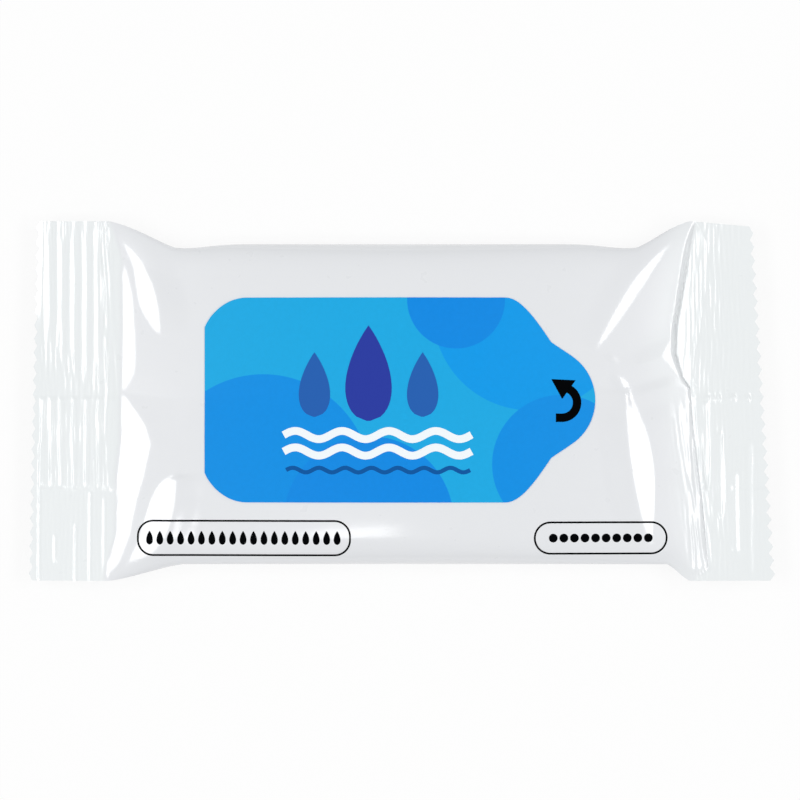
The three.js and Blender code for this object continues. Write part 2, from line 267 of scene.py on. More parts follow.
# %% The top film
DOME_POWER = 12  # 2 is an ellipse, more is a flatter top with tighter shoulders
ARCH_POWER = 1.7  # 2 is a parabola along the pack, 1 a straight climb
ARCH_RUN = 57  # from the start of a facet to the crown
CROWN_ROUND = 0.1  # share of that run over which the crown is rounded


def arch(share, power):
    """Climbs from 0 to about 1, steepest at the start and level at the end, with a round crown."""
    left = np.hypot(1 - np.clip(share, 0, 1), CROWN_ROUND)
    return (1 + CROWN_ROUND ** 2) ** (power / 2) - left ** power


def dome(s):
    """The film's swell across the pack, from 0 at the side edges to 1."""
    return np.sqrt(np.clip(1 - np.abs(s) ** DOME_POWER, 0, 1))


def top_height(x, s):
    """The height of the top film, before crimps and folds."""
    crown = CROWN_HEIGHT - WAIST_HEIGHT - WELD_THICKNESS / 2

    def film(end):
        start, stop = facet_span(end, s)
        distance = eased_start(inwards(end, x) - start)
        step = FACET_SLOPE * (stop - start)
        climb = FACET_SLOPE * levelled(distance, stop - start)
        return climb + (crown - step) * arch(distance / ARCH_RUN, ARCH_POWER)
    return parting_height(x, s) + WELD_THICKNESS / 2 + by_end(x, film) * dome(s)


print(f"top film at the middle: {top_height(0.0, 0.0):.2f} mm above the table")

# %% [markdown]
# ## The back film and the place of the fin
#
# The fin is the tube's own weld. It stands on the back along a root line, and is folded over to lie
# flat under the pack, so the back rests partly on the table and partly on the fin. We could cut the
# bulging back off at the table, but then it would lose its film. Instead the back bulges as the top
# does, and at each point we take the higher of two heights: that of the free film, and that of what
# lies under it.

# %% The back film
FIN_ROOT = 0.9  # across from the tube's middle line
FIN_WIDTH = 18.2
FIN_THICKNESS = 0.35
FIN_GAP = 0.3
FIN_EASE = 1.4  # over which the back film steps up onto the fin
TABLE_PRESS = 1.05  # how much deeper the back would bulge without a table
BACK_FACET = 11  # from either seal down to the flat of the back
BACK_POWER = 2  # a parabola, as for the arch


def back_floor(y):
    """The lowest that the back film lies: on the table, or on the fin between the two."""
    inner = smooth(y, FIN_ROOT - FIN_WIDTH - FIN_EASE, FIN_ROOT - FIN_WIDTH)
    outer = 1 - smooth(y, FIN_ROOT - FIN_EASE / 2, FIN_ROOT + FIN_EASE / 2)
    return (FIN_THICKNESS + FIN_GAP) * inner * outer


def back_height(x, s):
    """The height of the back film, before crimps."""
    fall = TABLE_PRESS * WAIST_HEIGHT

    def film(end):
        return arch(eased_start(inwards(end, x)) / BACK_FACET, BACK_POWER)
    free = parting_height(x, s) - WELD_THICKNESS / 2 - fall * by_end(x, film) * dome(s)
    return np.maximum(free, back_floor(across_at(x, s)))


print(f"the back lies {back_floor(FIN_ROOT - FIN_WIDTH / 2):.2f} mm above the table over the fin")

# %% [markdown]
# ## Fine scratches in the seals
#
# The seals are pressed between grooved jaws, which leave fine scratches across the pack. They are thin,
# long and never quite straight. A noise texture could colour them in, but they show by how they catch
# the light, so they are real heights: a sum of nine sine waves of random length and phase, each bent by
# a slow drift. The random numbers start from a seed, so every run draws the same scratches.

# %% Fine scratches
SCRATCH_WAVES = 9
WAVE_RANGE = (0.7, 1.6)  # shortest and longest wave, as shares of the pitch or length that is asked for
PHASE_RANGE = 6.3  # radians, about a full turn
SCRATCH_PITCH, SCRATCH_LENGTH, SCRATCH_SEED = 0.8, 18, 5


def striations(across, along, pitch, length, seed):
    """Smooth random waves, short across and long along, mostly between -1 and 1."""
    source = np.random.default_rng(seed)
    total = np.zeros_like(across)
    for _ in range(SCRATCH_WAVES):
        wave = 2 * np.pi * across / (pitch * source.uniform(*WAVE_RANGE))
        drift = 2 * np.pi * along / (length * source.uniform(*WAVE_RANGE))
        shift, bend = source.uniform(0, PHASE_RANGE), source.uniform(0, PHASE_RANGE)
        total += np.sin(wave + shift + 2 * np.sin(drift + bend))
    return total / math.sqrt(SCRATCH_WAVES)


def scratches(outwards, y):
    """The scratches that both seals have."""
    return striations(outwards, y, SCRATCH_PITCH, SCRATCH_LENGTH, SCRATCH_SEED)


sample = scratches(np.linspace(0, 15, 200), np.zeros(200))
print(f"scratches swing from {sample.min():.2f} to {sample.max():.2f}")

# %% [markdown]
# ## Gathers beside the seals
#
# Where a wide tube is drawn flat into a seal, the spare film stands up in tiny gathers. Single folds
# could be placed by hand, but there are dozens, and no one looks at any one of them. So they are the
# same random waves, let through only where gathers belong. At the left seal they lie in the upper half,
# and their lines draw together towards the upper edge, like those of a fan.

# %% Gathers at the left seal
LEFT_GATHER = 0.075  # how strong they are
FAN_LINE = 2.3  # outwards of the seal line, where one line of the fan runs straight across the pack
FAN_OPEN, FAN_CLOSING = 1.6, 0.8  # spread at the middle, and how much less it is at the upper edge
FAN_PLACE, FAN_LEAN = 0.3, 1.3  # inwards of the seal line at the middle, and how far it leans outwards
FAN_REACH = 1.6
FAN_SETS_IN = (-0.1, 0.2)  # s over which it starts
FAN_PITCH, FAN_LENGTH, FAN_SEED = 1.0, 30, 3


def left_gathers(x, s, y):
    """A fan of gathers in the upper half, leaning outwards as it goes up."""
    inward = inwards(LEFT, x)
    fan = (inward + FAN_LINE) / (FAN_OPEN - FAN_CLOSING * s)
    place = bump(inward, FAN_PLACE - FAN_LEAN * s, FAN_REACH) * smooth(s, *FAN_SETS_IN)
    return LEFT_GATHER * place * striations(fan, y, FAN_PITCH, FAN_LENGTH, FAN_SEED)


sample = left_gathers(np.full(200, seal_line(LEFT)), np.full(200, 0.5), np.linspace(0, 35, 200))
print(f"left gathers: up to {np.abs(sample).max():.2f} mm high on the seal line")

# %% [markdown]
# At the right seal the gathers follow the start of the facet in the lower half, so they slant as it
# does. In the upper half they are faint, and stand straight across the pack outside the crease. One
# function with more numbers could serve both ends, but two short ones are easier to read.

# %% Gathers at the right seal
LOW_GATHER, HIGH_GATHER = 0.08, 0.035  # how strong they are in the lower half and in the upper half
LOW_SETS_IN, LOW_FADES = (-1, -0.85), (-0.1, 0.02)  # s
HIGH_SETS_IN = (0.1, 0.4)
LOW_CENTRE, HIGH_CENTRE = 1, -3  # inwards of the facet's start
GATHER_REACH = 2.2
GATHER_PITCH, GATHER_LENGTH = 1.1, 28
LOW_SEED, HIGH_SEED = 8, 9


def right_gathers(x, s, y):
    """Gathers along the facet's start in the lower half, and faint ones outside it in the upper half."""
    inward = inwards(RIGHT, x)
    from_start = inward - facet_span(RIGHT, s)[0]
    in_lower_half = smooth(s, *LOW_SETS_IN) * (1 - smooth(s, *LOW_FADES))
    low = in_lower_half * bump(from_start, LOW_CENTRE, GATHER_REACH)
    high = smooth(s, *HIGH_SETS_IN) * bump(from_start, HIGH_CENTRE, GATHER_REACH)
    slanting = striations(from_start, y, GATHER_PITCH, GATHER_LENGTH, LOW_SEED)
    upright = striations(inward, y, GATHER_PITCH, GATHER_LENGTH, HIGH_SEED)
    return LOW_GATHER * low * slanting + HIGH_GATHER * high * upright


def gather_lift(end, x, s, y):
    """The gathers of either end."""
    return left_gathers(x, s, y) if end is LEFT else right_gathers(x, s, y)


sample = right_gathers(np.full(200, seal_line(RIGHT)), np.full(200, -0.5), np.linspace(-35, 0, 200))
print(f"right gathers: up to {np.abs(sample).max():.2f} mm high on the seal line")

# %% [markdown]
# ## Ridges from the jaws
#
# The grooves of the jaws leave rows of ridges in the seals. Above the fin they are wide and soft. Over
# the fin, where the film is four layers thick, and below it they are narrow and crisp. An array of
# little solids would do for the wide ones, but a ridge in film is only a change of height, so each kind
# is one function of the distance from the seal line. The wide wave has almost straight flanks, because
# such flanks flash in one piece.

# %% Wide and narrow ridges
RIDGE_PITCH = 2.42
RIDGE_START = 0.9  # from the left seal line to the foot of the first wide ridge
RIDGE_SLOPE = 0.23  # of the flanks of the wide ridges, if these were straight
RIDGE_SHARPNESS = 0.85  # 1 gives straight flanks and sharp crests, and less a softer, lower wave
FIRST_RIDGE = 0.3  # share of a pitch over which the first one rises
THIN_CREST = 0.1  # half the width of the crest of a thin ridge
FADE_BELOW, FADE_ABOVE = 1.2, 0.6  # over which the ends of a narrow ridge fade


def wide_ridges(outwards):
    """Heights of the wide ridges, so many millimetres outwards of the seal line."""
    phase = (outwards - RIDGE_START) / RIDGE_PITCH
    wave = np.arcsin(RIDGE_SHARPNESS * -np.cos(2 * np.pi * phase)) / (np.pi / 2)
    return RIDGE_SLOPE * RIDGE_PITCH / 4 * wave * smooth(phase, 0, FIRST_RIDGE)


def narrow_ridges(outwards, y, ridges, height, flank, crest=THIN_CREST):
    """Straight ridges. Each is given as its place outwards, its top and bottom y, and its strength."""
    total = 0
    for place, top, bottom, strength in ridges:
        profile = 1 - smooth(np.abs(outwards - place), crest, crest + flank)
        fade = smooth(y, bottom, bottom + FADE_BELOW)
        total = total + strength * profile * fade * (1 - smooth(y, top - FADE_ABOVE, top))
    return height * total


sample = wide_ridges(np.linspace(5, 10, 100))
print(f"wide ridges: {RIDGE_PITCH} mm apart, {np.ptp(sample):.2f} mm from foot to crest")

# %% [markdown]
# ## Short welds along the fin's root
#
# In the right seal a row of short welds stands up along the line where the fin is rooted, and they
# flash in the light. We could lay little drops on the film, but the welds are pressed out of the film
# itself. So each is given by where it starts and where it stops, and is a short ramp with a soft end.

# %% Short welds
STITCHES = ((3.1, 4.1), (4.7, 5.3), (5.7, 6.4), (8.3, 9.4), (11.2, 12.0), (12.7, 14.5))
STITCH_SLOPE = 0.36  # of the ramp
STITCH_RISE, STITCH_FALL = 0.6, 0.3  # lengths of the ramp and of the soft end
STITCH_BELOW = 0.2  # from the fin's root down to the middle of the row
STITCH_SIDES = (0.25, 0.75)  # from the middle of the row to where a weld's side starts and ends


def stitch_lift(outwards, y):
    """Short welds that stand up along the root of the fin."""
    lifts = [
        STITCH_SLOPE * np.clip(outwards - start, 0, STITCH_RISE)
        * (1 - smooth(outwards, stop, stop + STITCH_FALL))
        for start, stop in STITCHES]
    return sum(lifts) * (1 - smooth(np.abs(y - FIN_ROOT + STITCH_BELOW), *STITCH_SIDES))


print(f"{len(STITCHES)} short welds, {STITCH_SLOPE * STITCH_RISE:.2f} mm high")

# %% [markdown]
# ## Crimps of the left seal
#
# The left seal has three zones. Above the fin lie the wide ridges, over it the crisp narrow ones, and
# below it only a few thin lines. The zones could be three pieces with seams between them, but on the
# real film they run into each other, so they are added up, and each is faded in where it starts. The
# scratches are strongest where the pressing was uneven.

# %% Crimps of the left seal
# Narrow ridges: how far outwards of the seal line, from which y down to which, and how strong.
LEFT_FIN_RIDGES = [(place, 0.8, -17.2, 1) for place in (1.9, 4.5, 7.0, 9.5, 11.3, 13.1)]
LEFT_LOW_RIDGES = [(3.7, -17.6, -36, 1), (6.6, -24, -36, 0.9), (10.6, -26, -32, 0.7), (13.7, -8, -36, 0.9),
                   (0.9, -19, -36, 0.9)]
LEFT_HEIGHT, LEFT_FLANK = 0.12, 0.35
LEFT_CREST = 0.25  # half the width of the crests over the fin
WIDE_FROM, WIDE_LEAN = 0.05, 0.22  # s at which the wide ridges start, and how much it rises outwards
LEAN_RANGE = (4, 14)  # outwards of the seal line, over which it rises
WIDE_FADE = 0.12  # in s, above that border
ROOT_EASE = 0.4  # in mm, below the fin's root
PLAIN_SCRATCH, UNEVEN_SCRATCH = 0.007, 0.024  # how strong the scratches are, and what is added
ROUGH_CORNER = (0.97, 0.1)  # s and reach of uneven pressing at the upper corner
ROUGH_BORDER = (0.05, 0.16)  # the same at the border of the wide ridges, above it
ROUGH_FIN = 0.7  # how much of it there is over the fin
BAND_RAMP = 0.35  # at the sides of the fin's imprint


def fin_band(y):
    """1 in the part of a seal that holds the fin, with short ramps at its sides."""
    return smooth(y, FIN_ROOT - FIN_WIDTH, FIN_ROOT - FIN_WIDTH + BAND_RAMP) * (
        1 - smooth(y, FIN_ROOT - BAND_RAMP, FIN_ROOT))


def left_crimps(outwards, s, y):
    """Wide soft ridges above the fin, crisp narrow ones over it, and a few thin ones below."""
    edge = WIDE_FROM + WIDE_LEAN * smooth(outwards, *LEAN_RANGE)
    above = smooth(y, FIN_ROOT - ROOT_EASE, FIN_ROOT) * smooth(s, edge, edge + WIDE_FADE)
    lift = above * wide_ridges(outwards)
    lift += narrow_ridges(outwards, y, LEFT_FIN_RIDGES, LEFT_HEIGHT, LEFT_FLANK, LEFT_CREST)
    lift += narrow_ridges(outwards, y, LEFT_LOW_RIDGES, LEFT_HEIGHT, LEFT_FLANK)
    beyond, reach = ROUGH_BORDER
    uneven = bump(s, *ROUGH_CORNER) + bump(s, edge + beyond, reach) + ROUGH_FIN * fin_band(y)
    return lift + (PLAIN_SCRATCH + UNEVEN_SCRATCH * uneven) * scratches(outwards, y)


print(f"left seal: {len(LEFT_FIN_RIDGES)} ridges over the fin, {len(LEFT_LOW_RIDGES)} below it")

# %% [markdown]
# ## Crimps of the right seal
#
# The right seal is plainer. It has a few narrow ridges from the fin down, the short welds, and
# scratches that are stronger next to the body. It could be copied from the left one and changed, but
# the same helpers make it with another list: that is why the ridges are a function and not a mesh.

# %% Crimps of the right seal
# The ridges are given as those of the left seal.
RIGHT_RIDGES = [(3.4, 0, -17, 1), (6.2, -6, -23, 0.9), (9.0, -14, -30, 0.7), (11.8, -8, -34, 0.35)]
RIGHT_HEIGHT, RIGHT_FLANK = 0.2, 0.9
RIGHT_SCRATCH, INNER_SCRATCH = 0.005, 0.017  # how strong the scratches are, and what is added inside
INNER_RANGE = (5, 9)  # outwards of the seal line, over which that fades


def right_crimps(outwards, s, y):
    """A few narrow ridges from the fin down, and short welds along the fin's root."""
    lift = narrow_ridges(outwards, y, RIGHT_RIDGES, RIGHT_HEIGHT, RIGHT_FLANK) + stitch_lift(outwards, y)
    inner = 1 - smooth(outwards, *INNER_RANGE)
    return lift + (RIGHT_SCRATCH + INNER_SCRATCH * inner) * scratches(outwards, y)


print(f"right seal: {len(RIGHT_RIDGES)} ridges")

# %% [markdown]
# ## Both seals together
#
# The crimps set in where the facet starts, and end in a margin of plain film before the cut. They could
# stop at the seal's straight line, but the film isn't pressed to one line, so this looks more real. The
# fin's extra layers lift the film over them by a small step. The upper corner of the left cut curls
# down. That is added last, because the jaws don't press it and it doesn't end at the margin.

# %% Lift of the crimps
CRIMP_MARGIN = 0.9  # plain film between the last ridge and the cut
CRIMP_ONSET = (-0.2, 1.0)  # outwards of the facet's start, over which the crimps set in
IMPRINT = 0.12  # step in the seals over the fin's extra layers
CURL_START = 12.7  # outwards of the left seal line, where its upper corner bends down
CURL_SLOPE = 0.22
CURL_CORNER = (0.35, 0.6)  # s over which the curl sets in


def crimp_lift(end, outwards, s, y):
    """The lift of the crimped seal, so many millimetres outwards of its line."""
    run = end.seal - end.slant * (s + 1) / 2 - end.tooth
    pressed = left_crimps(outwards, s, y) if end is LEFT else right_crimps(outwards, s, y)
    inner = smooth(outwards + facet_span(end, s)[0], *CRIMP_ONSET)
    outer = 1 - smooth(outwards, run - CRIMP_MARGIN, run - CRIMP_MARGIN / 2)
    lift = (pressed * outer + IMPRINT * fin_band(y)) * inner
    if end is LEFT:
        lift -= CURL_SLOPE * np.maximum(outwards - CURL_START, 0) * smooth(s, *CURL_CORNER)
    return lift


print(f"step over the fin: {IMPRINT} mm")

# %% [markdown]
# ## Folds in the top film
#
# Between a facet and the stack the film is drawn into a few long folds. Each has a sharp crest: on one
# side a flank falls away evenly and flashes white, on the other it fades into the film. A soft brush in
# sculpt mode would make them by eye. Here a fold is three points of a curved crest and two widths, so
# it can be moved by changing a number. For every point of the film we look for the nearest place on the
# crest, and which side of it the point lies on.

# %% The lift of one fold
FOLD_SLOPE = 0.16
CREST_SAMPLES = 40


def fold_width(share, widest):
    """The width of a fold along its line, from 0 to 1, widest at the share given."""
    falling = (1 - widest) / widest
    return (share / widest) * ((1 - share) / (1 - widest)) ** falling


def fold_crest(line):
    """Points on the curved crest of a fold, the heading at each, and how far apart its ends are."""
    t = np.linspace(0, 1, CREST_SAMPLES)[:, None]
    a, b, c = (np.array(point, float) for point in line)
    crest = (1 - t) ** 2 * a + 2 * (1 - t) * t * b + t ** 2 * c
    heading = np.gradient(crest, axis=0)
    heading /= np.linalg.norm(heading, axis=1)[:, None]
    return crest, heading, np.linalg.norm(c - a)


def fold_lift(x, y, line, flank, fade, widest):
    """The lift of one fold. On the left of its line, seen along it, a flank falls away evenly. On the
    right the fold fades out over a longer way."""
    crest, heading, length = fold_crest(line)
    step = 1 / (CREST_SAMPLES - 1)
    best = np.full(x.shape, np.inf)
    side, place = np.zeros(x.shape), np.zeros(x.shape)
    for k in range(CREST_SAMPLES):
        dx, dy = x - crest[k, 0], y - crest[k, 1]
        reach = np.hypot(dx, dy)
        left = heading[k, 0] * dy - heading[k, 1] * dx
        ahead = heading[k, 0] * dx + heading[k, 1] * dy
        nearer = reach < best
        best = np.where(nearer, reach, best)
        side = np.where(nearer, left, side)
        place = np.where(nearer, k * step + ahead / length, place)
    width = flank * fold_width(np.clip(place, 0, 1), widest)
    on_back = width * (1 - smooth(-side, 0, fade))
    return FOLD_SLOPE * np.where(side > 0, np.maximum(width - side, 0), on_back)


print(f"a flank 5 mm wide lifts the crest by {FOLD_SLOPE * 5:.1f} mm")

# %% [markdown]
# Six such folds lie on this pack: two beside the left seal, and two long and two short ones beside the
# right. Their points are given inwards of the seal line and across, so they move with the seals. The
# side edges stay where they are, because the top film is joined to the back film there.

# %% The folds of this pack
# Three points of the crest, the width of the flank, the width of the back, and where it is widest.
TOP_FOLDS = {
    -1: [(((9.8, 13.0), (10.8, 24.0), (1.6, 32.0)), 3.4, 6.0, 0.35),
         (((-0.3, -35.0), (13.7, -31.5), (13.2, -14.5)), 5.0, 6.0, 0.7)],
    1: [(((3.2, 31.2), (10.2, 27.5), (18.7, 9.9)), 1.9, 5.0, 0.6),
        (((12.5, 2.5), (12.7, -14.0), (7.4, -28.5)), 4.2, 6.0, 0.45),
        (((15.3, 5.2), (12.4, 4.0), (11.8, -2.5)), 1.0, 2.0, 0.5),
        (((16.6, 8.8), (15.0, 8.6), (14.0, 7.4)), 0.5, 1.0, 0.5)],
}


def top_folds(x, y, s):
    """The folds of the top film. They leave the side edges where they are."""
    total = 0
    for end in ENDS:
        for points, *rest in TOP_FOLDS[end.side]:
            crest = [(seal_line(end) - end.side * inward, across) for inward, across in points]
            total = total + fold_lift(x, y, crest, *rest)
    return total * (1 - np.abs(s) ** DOME_POWER)


print("folds:", {seal: len(folds) for seal, folds in TOP_FOLDS.items()})

# %% [markdown]
# ## Stations along the pack
#
# The heights are formulas, and a mesh has to sample them. One even step would be too coarse for the
# crimps, or far too fine for the body. So the stations stand closest in the seals, wider over the
# facets and folds, and widest over the stack, where the film hardly bends. Towards a cut that slants,
# the stations turn with it.

# %% Stations
SEAL_STEP = 0.2  # between the stations in the seals
FACET_STEP, FACET_REACH = 0.3, 8  # from there to this far inwards of a seal
FOLD_STEP, FOLD_REACH = 0.5, 20
BODY_STEP = 2


def station_bases():
    """Places along the pack at which the film is sampled, closest in the seals."""
    reaches = (0, FACET_REACH, FOLD_REACH)
    left = [seal_line(LEFT) + reach for reach in reaches]
    right = [seal_line(RIGHT) - reach for reach in reaches[::-1]]
    marks = [-PACK_LENGTH / 2, *left, *right, PACK_LENGTH / 2]
    steps = [SEAL_STEP, FACET_STEP, FOLD_STEP, BODY_STEP, FOLD_STEP, FACET_STEP, SEAL_STEP]
    pieces = [
        np.linspace(a, b, round((b - a) / step), endpoint=False)
        for a, b, step in zip(marks, marks[1:], steps)]
    return np.append(np.concatenate(pieces), marks[-1])


def shares_at(base):
    """How far each station is through its end's seal, from 0 at the inner line to 1 at the cut."""
    return by_end(base, lambda end: np.clip(-inwards(end, base) / end.seal, 0, 1))


def along_at(base, s):
    """x of a station at s: the stations turn with the slanting cut as they near it."""
    lean = by_end(base, lambda end: end.side * end.slant * np.ones_like(base)) * shares_at(base)
    return base - lean * (s + 1) / 2


print(f"{len(station_bases())} stations along the pack")

# %% [markdown]
# ## Points across the film
#
# Even steps in y would be simpler, but would leave the steep shoulders with hardly a point. Film bends
# without stretching, so the points across each station are spread evenly along the film itself, up one
# shoulder and down the other. We measure the way along a fine first sampling, and read off where each
# even share of it falls.

# %% Even points across
COLUMNS_PER_TOOTH = 6
TEETH = 26
COLUMNS = COLUMNS_PER_TOOTH * TEETH
FINE_POINTS = 400


def evenly_across(base, height):
    """s of evenly spaced points along the film at every station, as film doesn't stretch."""
    s = -np.cos(np.linspace(0, np.pi, FINE_POINTS))[None, :] * np.ones((len(base), 1))
    x = along_at(base[:, None], s)
    y = across_at(x, s)
    z = height(x, s)
    steps = np.sqrt(np.diff(x) ** 2 + np.diff(y) ** 2 + np.diff(z) ** 2)
    lengths = np.concatenate([np.zeros((len(base), 1)), np.cumsum(steps, axis=1)], axis=1)
    wanted = np.linspace(0, 1, COLUMNS + 1)
    return np.array([np.interp(wanted * line[-1], line, across) for line, across in zip(lengths, s)])


print(f"{COLUMNS + 1} points across, {COLUMNS_PER_TOOTH} to each of {TEETH} teeth")

# %% [markdown]
# ## The film's grid
#
# Now all of it comes together. Each film is one grid of stations by columns. Near the cut the grid is
# pulled in and out, column by column, which gives the zigzag edge without cutting anything: a boolean
# would leave long thin faces there. Crimps, gathers and folds are then added to the height.

# %% Grid of one film
TEETH_FROM = 0.88  # share of the seal from which the rows bend towards the zigzag


def film_grid(height, folds=None):
    """Points of one film, as an array of stations by columns by xyz."""
    base = station_bases()[:, None] * np.ones((1, COLUMNS + 1))
    s = evenly_across(base[:, 0], height)
    tooth = np.abs(np.arange(COLUMNS + 1) / COLUMNS_PER_TOOTH % 1 - 0.5) * 2
    near_cut = smooth(shares_at(base), TEETH_FROM, 1)
    base = base - by_end(base, lambda end: end.side * end.tooth * tooth * near_cut)
    x = along_at(base, s)
    y = across_at(x, s)
    share = shares_at(base)

    def crimps(end):
        outwards = -inwards(end, base) * (1 - share * end.slant * (s + 1) / 2 / end.seal)
        return crimp_lift(end, outwards, s, y) + gather_lift(end, x, s, y)
    z = height(x, s) + by_end(base, crimps)
    if folds:
        z = z + folds(x, y, s)
    return np.stack([x, y, z], axis=2)


top_film = film_grid(top_height, top_folds)
back_film = film_grid(back_height)
print(f"top film from {top_film[..., 2].min():.2f} to {top_film[..., 2].max():.2f} mm high")

# %% [markdown]
# ## From points to meshes
#
# Blender's operators could add planes and shape them, but they depend on what is selected. A mesh made
# straight from lists of points and faces doesn't, and it is quick. Every piece of the pack is a closed
# body: a film or an ink has a front and a back, and a strip of faces round the rim joins them. The faces
# are shaded smooth, and an edge sharper than 50 degrees stays sharp.

# %% Mesh helpers
SHARP_FROM = math.radians(50)


def add_mesh(name, points, faces, material):
    """A mesh object from points in millimetres."""
    mesh = bpy.data.meshes.new(name)
    mesh.from_pydata((np.asarray(points, float) * MM).tolist(), [], faces)
    mesh.materials.append(material)
    mesh.validate()
    piece = bpy.data.objects.new(name, mesh)
    bpy.context.scene.collection.objects.link(piece)
    mesh.shade_smooth()
    mesh.set_sharp_from_angle(angle=SHARP_FROM)
    print(f"{name}: {len(mesh.polygons)} faces")
    return piece


def grid_faces(rows, columns, first=0, flip=False):
    """Quads over a grid of rows by columns of points."""
    start = first + np.arange(rows - 1)[:, None] * columns + np.arange(columns - 1)[None, :]
    corners = [start, start + 1, start + columns + 1, start + columns]
    quads = np.stack(corners[::-1] if flip else corners, axis=2).reshape(-1, 4)
    return quads.tolist()


def closed_layer(upper, lower):
    """Points and faces of the closed body between two grids of the same size."""
    rows, columns = upper.shape[:2]
    count = rows * columns
    points = np.concatenate([upper.reshape(-1, 3), lower.reshape(-1, 3)])
    faces = grid_faces(rows, columns, 0, flip=True) + grid_faces(rows, columns, count)
    number = np.arange(count).reshape(rows, columns)
    rim = np.concatenate([number[0, :-1], number[:-1, -1], number[-1, :0:-1], number[:0:-1, 0]])
    onward = np.roll(rim, -1)
    faces += np.stack([rim, onward, onward + count, rim + count], axis=1).tolist()
    return points, faces


print("a grid of 3 by 3 points has", len(grid_faces(3, 3)), "faces")

# %% [markdown]
# ## Materials in code
#
# A material is a tree of nodes. Drawn by hand it is easy to read, but a script has to add each node and
# link. These helpers keep that short: one for a material with a Principled shader, one for any other
# node, and one for a noise of so many lumps a millimetre. Colours are given as they are seen, and
# turned into the light values that Blender takes.

# %% Node helpers
def linear(red, green, blue):
    """A colour given as it is seen, from 0 to 255, as the light values that Blender takes."""
    seen = np.array([red, green, blue]) / 255
    light = np.where(seen <= 0.04045, seen / 12.92, ((seen + 0.055) / 1.055) ** 2.4)
    return (*light.tolist(), 1)


def new_material(name, **sockets):
    """A material with one Principled shader, its plain values set on the shader's own sockets."""
    material = bpy.data.materials.new(name)
    material.use_nodes = True
    shader = material.node_tree.nodes["Principled BSDF"]
    for socket, value in sockets.items():
        shader.inputs[socket.replace("_", " ")].default_value = value
    return material, material.node_tree, shader


def add_node(tree, kind, **values):
    """A node, with its settings, and the values or links of its inputs by name or, as i0, by number."""
    node = tree.nodes.new("ShaderNode" + kind)
    for key, value in values.items():
        if hasattr(node, key):
            setattr(node, key, value)
            continue
        socket = node.inputs[int(key[1:])] if key[0] == "i" and key[1:].isdigit() else node.inputs[key]
        if isinstance(value, bpy.types.NodeSocket):
            tree.links.new(value, socket)
        else:
            socket.default_value = value
    return node


def noise_at(tree, scale, stretch=(1, 1, 1), detail=2):
    """Noise with so many lumps a millimetre, stretched along the axes."""
    place = add_node(tree, "TexCoord").outputs["Object"]
    size = tuple(scale / MM / axis for axis in stretch)
    sized = add_node(tree, "Mapping", Vector=place, Scale=size)
    return add_node(tree, "TexNoise", Vector=sized.outputs["Vector"], Scale=1.0, Detail=detail)


def map_range(tree, value, low, high, to_low=0.0, to_high=1.0):
    """A value moved from one range to another."""
    return add_node(tree, "MapRange", i0=value, i1=low, i2=high, i3=to_low, i4=to_high).outputs[0]


print(f"a grey seen as 128 is {linear(128, 128, 128)[0]:.3f} in light")

# %% [markdown]
# ## The film's finish
#
# The film is glossy white polypropylene. Plain white paint would look dull, because two things make it
# film: a thin clear gloss over a rougher white, and tiny unevenness in that gloss. So the shader has a
# coat for the sharp reflections, a rougher body for the soft ones, and two fine bumps. Over the wipes
# the white is a little blue. In the seals there is nothing behind the film, and the light that shines
# through it there is painted in as a paler white: that share is stored on the mesh as an attribute,
# and the shader mixes two whites by it.

# %% The film's material
WHITE_OVER_WIPES = linear(229, 231, 234)
# painted light: this paler white stands in for light shining through the thin film in the seals
WHITE_LIT_THROUGH = linear(236, 240, 241)
CLOUD_SHADES = (0.985, 1.005)  # how dark and how light the large soft clouds in the white are
FILM_ROUGHNESS = (0.24, 0.36)  # of the body under the gloss


def film_material():
    """Glossy white film, with painted light: paler where the mesh's attribute says that light shines through
    it.
    """
    material, tree, shader = new_material(
        "white_film", Roughness=0.3, IOR=1.5, Coat_Weight=1.0, Coat_Roughness=0.115, Coat_IOR=1.5)
    # painted light: the share of film that light shines through, which mixes in the paler white
    lit_through = add_node(tree, "Attribute", attribute_name="lit_through").outputs["Fac"]
    whites = add_node(tree, "Mix", data_type="RGBA", i0=lit_through, i6=WHITE_OVER_WIPES, i7=WHITE_LIT_THROUGH)
    clouds = map_range(tree, noise_at(tree, 0.06).outputs["Fac"], 0.0, 1.0, *CLOUD_SHADES)
    shade = add_node(tree, "VectorMath", operation="SCALE", i0=whites.outputs[2], Scale=clouds)
    tree.links.new(shade.outputs[0], shader.inputs["Base Color"])
    rough = map_range(tree, noise_at(tree, 0.4).outputs["Fac"], 0.0, 1.0, *FILM_ROUGHNESS)
    tree.links.new(rough, shader.inputs["Roughness"])
    lumps = noise_at(tree, 0.35, stretch=(1, 1.6, 1), detail=3).outputs["Fac"]
    grain = noise_at(tree, 2.2, detail=2).outputs["Fac"]
    coarse = add_node(tree, "Bump", Strength=0.1, Distance=0.05 * MM, Height=lumps)
    fine = add_node(
        tree, "Bump", Strength=0.1, Distance=0.01 * MM, Height=grain, Normal=coarse.outputs[0])
    tree.links.new(fine.outputs[0], shader.inputs["Normal"])
    tree.links.new(fine.outputs[0], shader.inputs["Coat Normal"])
    return material


white_film = film_material()
print(f"{white_film.name}: {len(white_film.node_tree.nodes)} nodes")

# %% [markdown]
# ## The pouch
#
# The pouch is the top film and the back film, welded at the ends and folded at the sides. Their grids
# have the same size, one above the other, so joined round their rim they make one closed body with an
# inside and an outside all over. A plane with a thickness added would be one film, not a pouch. The
# share of film with no wipes behind it is worked out for every point and stored on the mesh, so that
# the material can paint the light shining through it as a paler white. Beside the right seal the film
# stands away from the wipes, so it gets part of that painted light too.

